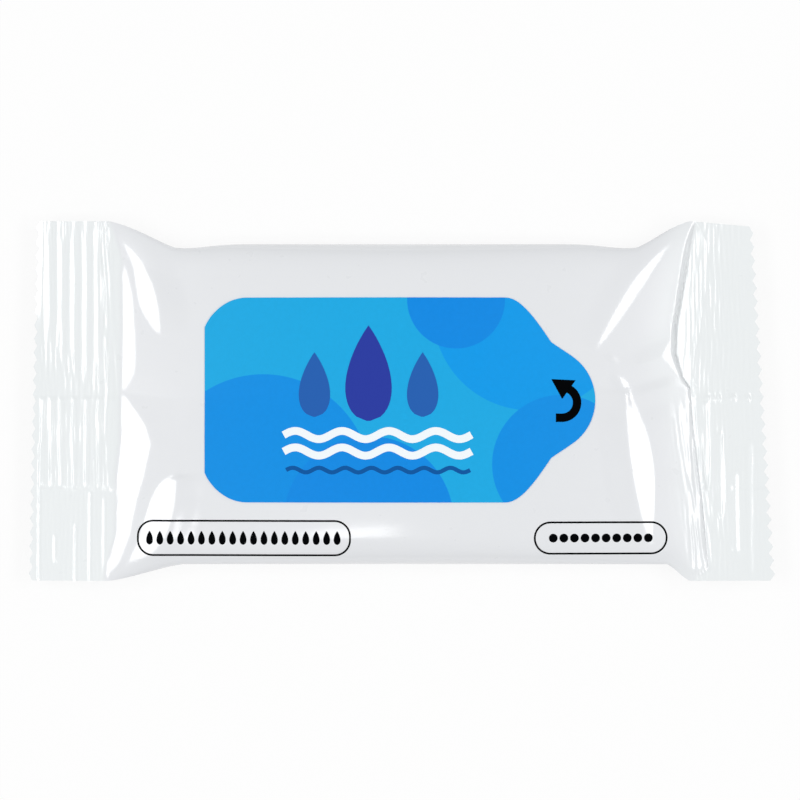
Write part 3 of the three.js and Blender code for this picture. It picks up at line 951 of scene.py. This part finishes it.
# %% The pouch
LIT_THROUGH_FADE = 0.6  # either side of a facet's start, over which the painted light through the film sets in
BESIDE_SHARE = 0.45  # how much of the painted light through the film lies beside the right seal
BESIDE_FADE = (2, 8)  # inwards of the facet's start, over which that fades


def store_share(piece, name, values):
    """One number for each point of a mesh, for a material to read."""
    attribute = piece.data.attributes.new(name, "FLOAT", "POINT")
    attribute.data.foreach_set("value", np.asarray(values, np.float32).ravel())


def lit_through_share(x, s):
    """Painted light: 1 where no wipes back the film and light shines through it: in the seals, and partly
    beside the right one.
    """
    def share(end):
        from_start = inwards(end, x) - facet_span(end, s)[0]
        beside = BESIDE_SHARE * (1 - smooth(from_start, *BESIDE_FADE)) if end is RIGHT else 0
        return np.maximum(1 - smooth(from_start, -LIT_THROUGH_FADE, LIT_THROUGH_FADE), beside)
    return by_end(x, share)


pouch = add_mesh("film_pouch", *closed_layer(top_film, back_film), white_film)
film_places = np.concatenate([top_film, back_film])
lower_edge, upper_edge = side_edge(film_places[..., 0], -1), side_edge(film_places[..., 0], 1)
film_shares = 2 * (film_places[..., 1] - lower_edge) / (upper_edge - lower_edge) - 1
store_share(pouch, "lit_through", lit_through_share(film_places[..., 0], film_shares))
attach(pouch, "root")
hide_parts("pouch")
print(f"pouch: {len(pouch.data.vertices)} points, top at {top_film[..., 2].max():.2f} mm")

# %% [markdown]
# ## The fin
#
# The fin is a strip of film in two layers that lies under the back. A flat box would poke out of the
# seals, where the back rises. So the strip is taken from the back film's own grid, a little below it:
# it follows the back into both seals, and ends in the same zigzag.

# %% The fin
WELDED_GAP = 0.01  # where the fin is joined to the back
ROOT_JOINT = (0.6, 1.8)  # from the root, over which the fin parts from the back
SEAL_JOINT = (-1, 3)  # inwards of a seal, the same

middle_y = back_film[len(back_film) // 2, :, 1]
fin_columns = np.where((middle_y > FIN_ROOT - FIN_WIDTH) & (middle_y < FIN_ROOT))[0]
fin_back = back_film[:, fin_columns]
from_root = smooth(FIN_ROOT - fin_back[..., 1], *ROOT_JOINT)
from_seal = by_end(fin_back[..., 0], lambda end: smooth(inwards(end, fin_back[..., 0]), *SEAL_JOINT))
fin_gap = WELDED_GAP + FIN_GAP * from_root * from_seal
fin_top = fin_back - fin_gap[..., None] * (0, 0, 1)
fin_low = fin_top - (0, 0, FIN_THICKNESS)
fin_low[..., 2] = np.maximum(fin_low[..., 2], 0)
fin = add_mesh("film_fin", *closed_layer(fin_top, fin_low), white_film)
# painted light: all of the fin gets the paler white of film that light shines through
store_share(fin, "lit_through", np.ones(len(fin.data.vertices)))
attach(fin, "root")
print(f"fin: {len(fin_columns)} columns of the back film")

# %% [markdown]
# ## Laying things on the film
#
# The label and the inks lie on the film and follow it. A shrinkwrap modifier could press them down, but
# it would pull both faces of a thin layer onto the film. So we ask the film for its height: a ray is
# cast straight down at its mesh for every point, and the layer's two faces stand a little above it.

# %% A way to lay things on the film
RAY_START = 50  # mm above the table
DOWN = Vector((0, 0, -1))
film_tree = BVHTree.FromPolygons(
    top_film.reshape(-1, 3).tolist(), grid_faces(*top_film.shape[:2], 0, flip=True))


def on_film(x, y):
    """The height of the top film under each point, found by looking straight down at its mesh."""
    starts = [Vector((a, b, RAY_START)) for a, b in zip(x.ravel(), y.ravel())]
    hits = [film_tree.ray_cast(start, DOWN)[0] for start in starts]
    return np.array([hit.z for hit in hits]).reshape(x.shape)


def laid_layer(x, y, low, high):
    """The two grids of a thin layer that lies on the top film."""
    z = on_film(x, y)
    return np.stack([x, y, z + high], axis=2), np.stack([x, y, z + low], axis=2)


print(f"film under the middle of the label: {on_film(np.zeros(1), np.zeros(1))[0]:.2f} mm")

# %% [markdown]
# ## The label's outline
#
# The label is a sheet of its own with a round tab to lift it by. It is straight at the sides, with
# round corners on the left, and a sloping shoulder and the tab on the right. A curve object could be
# filled to a flat sheet, but this sheet has to bend with the film, and needs points inside. So the
# outline is a list of points, which two helpers give: one for arcs, and one for Bezier curves.

# %% Curves for outlines
def arc(centre, radius, start, stop, count):
    """Points on a part of a circle, between two angles."""
    angle = np.linspace(start, stop, count)
    return np.stack([centre[0] + radius * np.cos(angle), centre[1] + radius * np.sin(angle)], axis=1)


def bezier(a, b, c, d, count):
    """Points on a curve from a to d that is pulled towards b and c."""
    t = np.linspace(0, 1, count)[:, None]
    a, b, c, d = (np.array(point, float) for point in (a, b, c, d))
    return (1 - t) ** 3 * a + 3 * (1 - t) ** 2 * t * b + 3 * (1 - t) * t ** 2 * c + t ** 3 * d


print("a quarter circle in three points:", arc((0, 0), 1, 0, math.pi / 2, 3).round(2).tolist())

# %% [markdown]
# The label is the same above and below its middle line. Its whole outline could be drawn, but one half
# is enough, and keeps the two sides alike. Each point of it holds x and half the sheet's width there.
# The sizes are those of the photograph, and the ends are where the solid label has them.

# %% The label's outline
CORNER_ALONG = 8.2  # the left corners' round, along the label and across it
CORNER_ACROSS = 5.8
CORNER_START = (0.8, 2.2)  # how its curve leaves the left edge
CORNER_PULL = 4.4  # how far it runs straight into the long edge
TAB_RADIUS = 10.3
TAB_ROUND = math.radians(55)  # either side of the tip, where the tab is round
TAB_TIP = 0.02  # angle at which the half outline stops, just short of the middle line
TAB_ROUND_PULL = 2.2  # how far the neck's curve runs on straight from there
SHOULDER_BACK = 7.2  # from the tab's centre back to where the straight edges end
SHOULDER_PULL = 2.9
NECK_AHEAD = 1.6  # from the tab's centre to the corner of the neck
NECK_HALF = 11.4
NECK_SLOPE = math.radians(56)
NECK_PULL_IN = 5.5  # how straight the shoulder runs into the neck
NECK_PULL_OUT = 0.4

label_left, label_tip = label_low[0], label_high[0]
label_middle = (label_low[1] + label_high[1]) / 2
label_half = (label_high[1] - label_low[1]) / 2
tab_centre = label_tip - TAB_RADIUS


def label_edge():
    """The upper half of the outline from the left to the tip, as x and the half width there."""
    shoulder = tab_centre - SHOULDER_BACK
    neck = np.array((tab_centre + NECK_AHEAD, NECK_HALF))
    down_neck = np.array([math.cos(NECK_SLOPE), -math.sin(NECK_SLOPE)])
    tangent = TAB_ROUND_PULL * np.array([math.sin(TAB_ROUND), -math.cos(TAB_ROUND)])
    tab = TAB_RADIUS * np.array([math.cos(TAB_ROUND), math.sin(TAB_ROUND)]) + (tab_centre, 0)
    corner = (label_left + CORNER_ALONG, label_half - CORNER_ACROSS)
    parts = [
        bezier(
            (label_left, corner[1]), (label_left + CORNER_START[0], corner[1] + CORNER_START[1]),
            (corner[0] - CORNER_PULL, label_half), (corner[0], label_half), count=16),
        np.linspace((corner[0], label_half), (shoulder, label_half), 80)[1:],
        bezier(
            (shoulder, label_half), (shoulder + SHOULDER_PULL, label_half),
            neck - NECK_PULL_IN * down_neck, neck, count=14)[1:],
        bezier(neck, neck + NECK_PULL_OUT * down_neck, tab - tangent, tab, count=10)[1:],
        arc((tab_centre, 0), TAB_RADIUS, TAB_ROUND, TAB_TIP, count=16)[1:],
    ]
    return np.concatenate(parts)


edge = label_edge()
print(f"label: {len(edge)} points from {edge[0, 0]:.1f} to {edge[-1, 0]:.1f} mm")

# %% [markdown]
# ## The label's print
#
# The ground is light blue with round fields of stronger blues, like bubbles that overlap. They could be
# discs of ink, but the colours of the ground lie in one plane, with no steps between them. So each
# bubble is a distance test in the shader: inside its radius the colour changes. The edge of each is a
# hundredth of a millimetre wide, so it stays crisp at any size. A fine grain makes the gloss a satin.

# %% The label's material
LIGHT_BLUE = linear(24, 169, 227)
GRAIN_SHADES = (0.97, 1.0)  # how dark and how light the grain makes the blues
LABEL_ROUGHNESS = (0.38, 0.48)
NOISE_SPAN = (0.3, 0.7)  # where most of a noise's values lie
BUBBLE_EDGE = 0.01
BUBBLES = [  # centre, radius and blue of each round field, from the label's middle
    ((-27.0, -16.0), 21.0, linear(4, 143, 228)),
    ((-6.5, -23.5), 16.5, linear(4, 137, 227)),
    ((25.0, 17.0), 19.0, linear(4, 154, 233)),
    ((31.0, -12.5), 13.5, linear(4, 143, 228)),
    ((10.5, 19.5), 9.5, linear(4, 137, 227)),
]


def bubble_ground(tree):
    """The colour of the printed ground: light blue, with each bubble laid over the ones before it."""
    place = add_node(tree, "TexCoord").outputs["Object"]
    flat = add_node(tree, "VectorMath", operation="MULTIPLY", i0=place, i1=(1, 1, 0)).outputs[0]
    colour = LIGHT_BLUE
    for centre, radius, blue in BUBBLES:
        at = (centre[0] * MM, (centre[1] + label_middle) * MM, 0)
        reach = add_node(tree, "VectorMath", operation="DISTANCE", i0=flat, i1=at).outputs["Value"]
        inside = map_range(tree, reach, (radius + BUBBLE_EDGE) * MM, radius * MM)
        colour = add_node(tree, "Mix", data_type="RGBA", i0=inside, i6=colour, i7=blue).outputs[2]
    return colour


def label_material():
    """Satin printed film."""
    material, tree, shader = new_material(
        "label_film", Roughness=0.45, IOR=1.45, Specular_IOR_Level=0.15)
    ground = bubble_ground(tree)
    grain = map_range(tree, noise_at(tree, 1.2).outputs["Fac"], *NOISE_SPAN, *GRAIN_SHADES)
    shade = add_node(tree, "VectorMath", operation="SCALE", i0=ground, Scale=grain)
    tree.links.new(shade.outputs[0], shader.inputs["Base Color"])
    rough = map_range(tree, noise_at(tree, 0.3).outputs["Fac"], *NOISE_SPAN, *LABEL_ROUGHNESS)
    tree.links.new(rough, shader.inputs["Roughness"])
    paper = noise_at(tree, 1.5, detail=3).outputs["Fac"]
    relief = add_node(tree, "Bump", Strength=0.2, Distance=0.01 * MM, Height=paper)
    tree.links.new(relief.outputs[0], shader.inputs["Normal"])
    return material


label_film = label_material()
print(f"{label_film.name}: {len(BUBBLES)} bubbles, {len(label_film.node_tree.nodes)} nodes")

# %% [markdown]
# ## The label itself
#
# The sheet is 0.12 mm thick and lies on the film all over. An even grid could be trimmed to the
# outline, but would get a ragged rim. So the sheet is drawn as lines from its lower edge to its upper
# one, each as long as the outline is wide there, and the rim is exact.

# %% The label
LABEL_STRIPS = 60
LABEL_LIFT = (0.03, 0.15)  # lower and upper face above the film

across = np.linspace(-1, 1, LABEL_STRIPS + 1)[None, :]
label_x = edge[:, :1] * np.ones_like(across)
label_y = label_middle + edge[:, 1:] * across
label = add_mesh("label_sheet", *closed_layer(*laid_layer(label_x, label_y, *LABEL_LIFT)), label_film)
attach(label, "root")
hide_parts("reseal_label")
print(f"label: {label_y.max() - label_y.min():.1f} mm wide")

# %% [markdown]
# ## The inks
#
# Printed shapes are thin layers of ink. They could be painted in a texture, but then their edges would
# blur close up, and this part has no picture files. So each ink is a closed body 0.02 mm thick, a
# hundredth of a millimetre above what it lies on. Ink hardly shines: it gets very little specular, and
# a roughness that wanders a little.

# %% Ink helpers
INK = 0.02
ON_FILM = 0.01
ON_LABEL = LABEL_LIFT[1] + 0.01
INK_SMOOTHER, INK_ROUGHER = 0.05, 0.08  # how far an ink's roughness wanders either way


def ink_material(name, colour, roughness=0.45):
    """A flat printing ink."""
    material, tree, shader = new_material(
        name, Base_Color=colour, Roughness=roughness, IOR=1.45, Specular_IOR_Level=0.02)
    wander = noise_at(tree, 0.8).outputs["Fac"]
    rough = map_range(tree, wander, *NOISE_SPAN, roughness - INK_SMOOTHER, roughness + INK_ROUGHER)
    tree.links.new(rough, shader.inputs["Roughness"])
    return material


def join_layers(name, layers, base, material):
    """One piece from several thin layers, each given by its x and y grids."""
    points, faces, count = [], [], 0
    for x, y in layers:
        some, quads = closed_layer(*laid_layer(x, y, base, base + INK))
        points.append(some)
        faces += (np.array(quads) + count).tolist()
        count += len(some)
    piece = add_mesh(name, np.concatenate(points), faces, material)
    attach(piece, "root")
    return piece


black_ink = ink_material("black_ink", linear(1, 2, 4))
violet_ink = ink_material("violet_ink", linear(46, 62, 160))
blue_ink = ink_material("blue_ink", linear(42, 97, 176))
white_ink = ink_material("white_ink", linear(240, 246, 250))
navy_ink = ink_material("navy_ink", linear(20, 88, 158))
print("inks:", [ink.name for ink in (black_ink, violet_ink, blue_ink, white_ink, navy_ink)])

# %% [markdown]
# ## Strips, drops and discs of ink
#
# Blender's curves could draw a line and fill a shape, but their points wouldn't lie in a grid, and the
# helpers above need grids. So a line is a strip with a point on either side of every point of its path.
# A drop or a disc is alike on both sides of an upright axis, and is drawn as lines across that axis, as
# the label is.

# %% Shapes of ink
FULLEST_DROP = 0.62  # sets how wide a drop is for its length
TIP_POWER = 0.95  # how a drop narrows to its tip: below 1 it bulges, above 1 it is hollow
NEAR_END = 0.001  # the first and last point of a drop, which may not have width 0
POLE = 0.02  # the same for a disc, as an angle
DROP_ROWS, DROP_COLUMNS = 24, 9
DISC_ROWS, DISC_COLUMNS = 24, 7


def strip(path, width, closed=False):
    """Grids of a strip of a width along a path of points."""
    path = np.asarray(path, float)
    if closed:
        path = np.concatenate([path, path[:1]])
    heading = np.gradient(path, axis=0)
    if closed:
        heading[0] = heading[-1] = path[1] - path[-2]
    heading /= np.linalg.norm(heading, axis=1)[:, None]
    side = np.stack([-heading[:, 1], heading[:, 0]], axis=1) * (np.asarray(width) / 2)
    offset = np.array([-1, 0, 1])[None, :]
    return (path[:, :1] + side[:, :1] * offset, path[:, 1:] + side[:, 1:] * offset)


def drop(centre, length):
    """Grids of a water drop with its tip up."""
    t = np.linspace(NEAR_END, 1 - NEAR_END, DROP_ROWS)
    half_widths = length * FULLEST_DROP * np.sqrt(t) * (1 - t) ** TIP_POWER
    up = np.linspace(-length / 2, length / 2, DROP_ROWS)[:, None]
    across = np.linspace(-1, 1, DROP_COLUMNS)[None, :]
    return (centre[0] + half_widths[:, None] * across, centre[1] + up + np.zeros_like(across))


def disc(centre, radius):
    """Grids of a round dot."""
    angle = np.linspace(POLE, math.pi - POLE, DISC_ROWS)
    across = np.linspace(-1, 1, DISC_COLUMNS)[None, :]
    return (centre[0] + radius * np.sin(angle)[:, None] * across,
            centre[1] - radius * np.cos(angle)[:, None] + np.zeros_like(across))


print(f"a drop 10 mm long is {np.ptp(drop((0, 0), 10)[0]):.1f} mm wide")

# %% [markdown]
# ## Two outlined fields
#
# Below the label the pack has two long fields with a thin black outline and round corners. Four corners
# would be enough on flat film, but this film bends, and a long straight line would cut through it or
# hover. So the path gets a point about every half millimetre, and then becomes a closed strip.

# %% Two outlined fields
FIELD_LINE = 0.36  # width of the outline
FIELD_STEP = 0.5
CORNER_POINTS = 12


def rounded_box(left, right, bottom, top, radius):
    """The outline of a box with round corners, in short steps."""
    arcs = [
        arc((right - radius, bottom + radius), radius, -math.pi / 2, 0, CORNER_POINTS),
        arc((right - radius, top - radius), radius, 0, math.pi / 2, CORNER_POINTS),
        arc((left + radius, top - radius), radius, math.pi / 2, math.pi, CORNER_POINTS),
        arc((left + radius, bottom + radius), radius, math.pi, 1.5 * math.pi, CORNER_POINTS),
    ]
    corners = np.concatenate(arcs)
    path = [corners[0]]
    for point in [*corners[1:], corners[0]]:
        start, gap = path[-1], point - path[-1]
        steps = max(1, round(np.linalg.norm(gap) / FIELD_STEP))
        for k in range(1, steps + 1):
            path.append(start + gap * k / steps)
    return np.array(path[:-1])


left_field = rounded_box(left=-51.5, right=-10.1, bottom=-30.0, top=-23.3, radius=3.0)
right_field = rounded_box(left=25.8, right=51.6, bottom=-29.7, top=-23.6, radius=3.05)
field_lines = [strip(path, FIELD_LINE, closed=True) for path in (left_field, right_field)]
join_layers("field_outlines", field_lines, ON_FILM, black_ink)

# %% [markdown]
# ## The motif on the label
#
# Three water drops over three waves say what the pack holds. One piece with four materials could hold
# them all, but on the press each colour is an ink of its own, so each is a piece of its own here. The
# waves are sine paths with a strip laid along them.

# %% The motif on the label
WAVE_POINTS = 90


def wave(left, right, middle, swing, length):
    """A path from left to right that swings up and down by a wave of the length."""
    x = np.linspace(left, right, WAVE_POINTS)
    return np.stack([x, middle + swing * np.sin(2 * np.pi * (x - left) / length)], axis=1)


white_paths = [wave(left=-23, right=13.5, middle=y, swing=0.8, length=9.1) for y in (-6.6, -9.8)]
white_waves = [strip(path, width=1.5) for path in white_paths]
navy_waves = [strip(wave(left=-22.5, right=13.2, middle=-13.4, swing=0.45, length=5.1), width=0.8)]
side_drops = [drop((x, 3.2), length=12.5) for x in (-17.0, 4.0)]
join_layers("middle_drop", [drop((-6.5, 5.4), length=18.5)], ON_LABEL, violet_ink)
join_layers("side_drops", side_drops, ON_LABEL, blue_ink)
join_layers("white_waves", white_waves, ON_LABEL, white_ink)
join_layers("navy_wave", navy_waves, ON_LABEL, navy_ink)

# %% [markdown]
# ## The arrow on the tab
#
# A bent arrow shows which way to peel the label. It is a part of a ring with a short straight tail, and
# a triangle for its head. The ring starts a little way inside the head, so that no gap shows between
# them. The head could be a single triangle, but then it wouldn't bend with the tab. So it is a grid too,
# drawn in rows from its tip.

# %% The arrow on the tab
ARROW_CENTRE = (31.1, -0.3)
ARROW_RADIUS = 2.95
ARROW_WIDTH = 1.64
ARROW_TAIL = 1.2
ARROW_HEAD = np.array([(31.14, 0.39), (29.03, 4.26), (33.77, 4.04)])  # its tip, and the ends of its base
ARROW_TURN = (math.radians(70), math.radians(-90))  # where the ring starts and ends
BLUNT_TIP = 0.02  # how much of the head is left off at its tip, which may not have width 0
HEAD_ROWS = 7

ring = arc(ARROW_CENTRE, ARROW_RADIUS, *ARROW_TURN, count=30)
tail = ring[-1] - np.array([[0.4], [0.8], [1.0]]) * (ARROW_TAIL, 0)
even = np.linspace(0, 1, HEAD_ROWS)
spread = even[:, None, None]
base = ARROW_HEAD[1] + even[None, :, None] * (ARROW_HEAD[2] - ARROW_HEAD[1])
head = ARROW_HEAD[0] + (BLUNT_TIP + (1 - BLUNT_TIP) * spread) * (base - ARROW_HEAD[0])
shaft = strip(np.concatenate([ring, tail]), ARROW_WIDTH)
join_layers("peel_arrow", [shaft, (head[..., 0], head[..., 1])], ON_LABEL, black_ink)

# %% [markdown]
# ## Rows of marks in the fields
#
# The two fields hold plain marks: a row of drops on the left, and ten dots on the right, for ten wipes.
# Each mark could be an object of its own, but they are all printed at once in one ink, so they are
# joined to one piece. numpy spaces them evenly from the first to the last.

# %% Rows of marks in the fields
ROW_DROPS, DROP_LENGTH, DROPS_Y = 19, 2.7, -26.6
ROW_DOTS, DOT_RADIUS, DOTS_Y = 10, 0.85, -26.65
drops = [drop((x, DROPS_Y), DROP_LENGTH) for x in np.linspace(-49.2, -12.6, ROW_DROPS)]
dots = [disc((x, DOTS_Y), DOT_RADIUS) for x in np.linspace(29.4, 48.0, ROW_DOTS)]
join_layers("field_marks", drops + dots, ON_FILM, black_ink)

# %% [markdown]
# ## The ground
#
# The pack lies on plain white. In the photograph that white is brighter than the film's. More light
# would brighten both, so the floor glows instead, but only for the camera and for reflections: the
# Light Path node tells these rays apart. To the light that falls on the pack it is pale paper, and a
# trace of the pack's shadow stays on it.

# %% The ground
FLOOR_HALF = 3.0  # metres
FLOOR_DEPTH = -0.05  # mm, just under the pack
FLOOR_GLOW = 0.87  # how much of the white that is seen is the floor's own


def any_ray(tree, path, *kinds):
    """1 for a ray of any of the kinds given."""
    seen = path.outputs[kinds[0]]
    for kind in kinds[1:]:
        seen = add_node(tree, "Math", operation="MAXIMUM", i0=seen, i1=path.outputs[kind]).outputs[0]
    return seen


def floor_material():
    """Pale paper that glows for the camera and for reflections only."""
    material, tree, shader = new_material(
        "paper_floor", Base_Color=(0.9, 0.9, 0.9, 1), Roughness=0.9, Specular_IOR_Level=0.0)
    glow = add_node(tree, "Emission", Color=(1, 1, 1, 1), Strength=1.0)
    path = add_node(tree, "LightPath")
    seen = any_ray(tree, path, "Is Camera Ray", "Is Glossy Ray", "Is Transmission Ray")
    share = add_node(tree, "Math", operation="MULTIPLY", i0=seen, i1=FLOOR_GLOW)
    mixed = add_node(
        tree, "MixShader", i0=share.outputs[0], i1=shader.outputs[0], i2=glow.outputs[0])
    tree.links.new(mixed.outputs[0], tree.nodes["Material Output"].inputs["Surface"])
    return material


floor_corners = [
    (x * FLOOR_HALF / MM, y * FLOOR_HALF / MM, FLOOR_DEPTH) for x, y in ((-1, -1), (1, -1), (1, 1), (-1, 1))]
floor = add_mesh("paper_floor", floor_corners, [[0, 1, 2, 3]], floor_material())
print(f"floor: {2 * FLOOR_HALF:.0f} m wide")

# %% [markdown]
# ## Light from all round
#
# A white room lights the pack softly from every side. Many weak lamps could do it, but the world does
# it with one even white, whose strength sets how bright the film comes out. The camera would see that
# as grey, so for camera rays the world is plain white.

# %% The world
AMBIENT = 0.555


def light_world(strength):
    """A world that lights evenly, and looks white to the camera."""
    world = bpy.data.worlds.new("studio")
    bpy.context.scene.world = world
    world.use_nodes = True
    tree = world.node_tree
    ambient = tree.nodes["Background"]
    ambient.inputs["Color"].default_value = (1, 1, 1, 1)
    ambient.inputs["Strength"].default_value = strength
    backdrop = add_node(tree, "Background", Color=(1, 1, 1, 1), Strength=1.0)
    seen = any_ray(tree, add_node(tree, "LightPath"), "Is Camera Ray", "Is Transmission Ray")
    mixed = add_node(tree, "MixShader", i0=seen, i1=ambient.outputs[0], i2=backdrop.outputs[0])
    tree.links.new(mixed.outputs[0], tree.nodes["World Output"].inputs["Surface"])


light_world(AMBIENT)
print(f"world strength {AMBIENT}")

# %% [markdown]
# ## Softboxes
#
# Two tall softboxes left and right draw the white shapes on the facets and ridges. A small one in front
# draws the soft streak near the lower edge. A spot light would light the pack as well, but glossy film
# would mirror it as a small point. A softbox is an area light: what the film mirrors is its face, so
# its size and place set the shape of a highlight. Its power is worked out from how bright that face
# should be: power = brightness x area x pi.

# %% Softboxes
BOX_DISTANCE = 0.8  # metres from the pack
BOX_BRIGHTNESS = 5
SIDE_TILT, SIDE_WIDTH, SIDE_LENGTH = 36, 0.225, 0.5  # degrees off the vertical, and metres
FRONT_AZIMUTH, FRONT_TILT, FRONT_WIDTH, FRONT_LENGTH = 246, 14.5, 0.115, 0.14


def softbox(name, azimuth, tilt, distance, width, length, brightness):
    """An area light that faces the pack, tilt degrees off the vertical towards an azimuth."""
    light = bpy.data.lights.new(name, "AREA")
    light.shape = "RECTANGLE"
    light.size, light.size_y = width, length
    light.energy = brightness * width * length * math.pi
    lamp = bpy.data.objects.new(name, light)
    bpy.context.scene.collection.objects.link(lamp)
    turn, lean = math.radians(azimuth), math.radians(tilt)
    direction = Vector((math.sin(lean) * math.cos(turn), math.sin(lean) * math.sin(turn), math.cos(lean)))
    lamp.location = direction * distance
    lamp.rotation_euler = Vector((0, 0, 1)).rotation_difference(direction).to_euler()
    print(f"{name}: {light.energy:.2f} W")


softbox("left_softbox", 180, SIDE_TILT, BOX_DISTANCE, SIDE_WIDTH, SIDE_LENGTH, BOX_BRIGHTNESS)
softbox("right_softbox", 0, SIDE_TILT, BOX_DISTANCE, SIDE_WIDTH, SIDE_LENGTH, BOX_BRIGHTNESS)
softbox(
    "front_softbox", FRONT_AZIMUTH, FRONT_TILT, BOX_DISTANCE, FRONT_WIDTH, FRONT_LENGTH, BOX_BRIGHTNESS)

# %% [markdown]
# ## Camera
#
# The photograph looks straight down on the pack, from so far away that there is no visible perspective.
# An orthographic camera would have none at all, but a long lens keeps the tiny rest of it that a real
# picture has. The frame's width at the height of the side edges is the width that the photograph shows,
# and the lens follows from that.

# %% Camera
CAMERA_HEIGHT = 900  # mm above the table
FRAME_WIDTH = 156.2
FRAME_CENTRE = (-0.39, 0.2)
SENSOR_WIDTH = 36  # mm

camera_data = bpy.data.cameras.new("camera")
camera_data.sensor_width = SENSOR_WIDTH
camera_data.lens = SENSOR_WIDTH * (CAMERA_HEIGHT - WAIST_HEIGHT) / FRAME_WIDTH
camera = bpy.data.objects.new("camera", camera_data)
camera.location = (FRAME_CENTRE[0] * MM, FRAME_CENTRE[1] * MM, CAMERA_HEIGHT * MM)
bpy.context.scene.collection.objects.link(camera)
bpy.context.scene.camera = camera
bpy.context.scene.view_settings.view_transform = "Standard"
print(f"lens {camera_data.lens:.0f} mm")
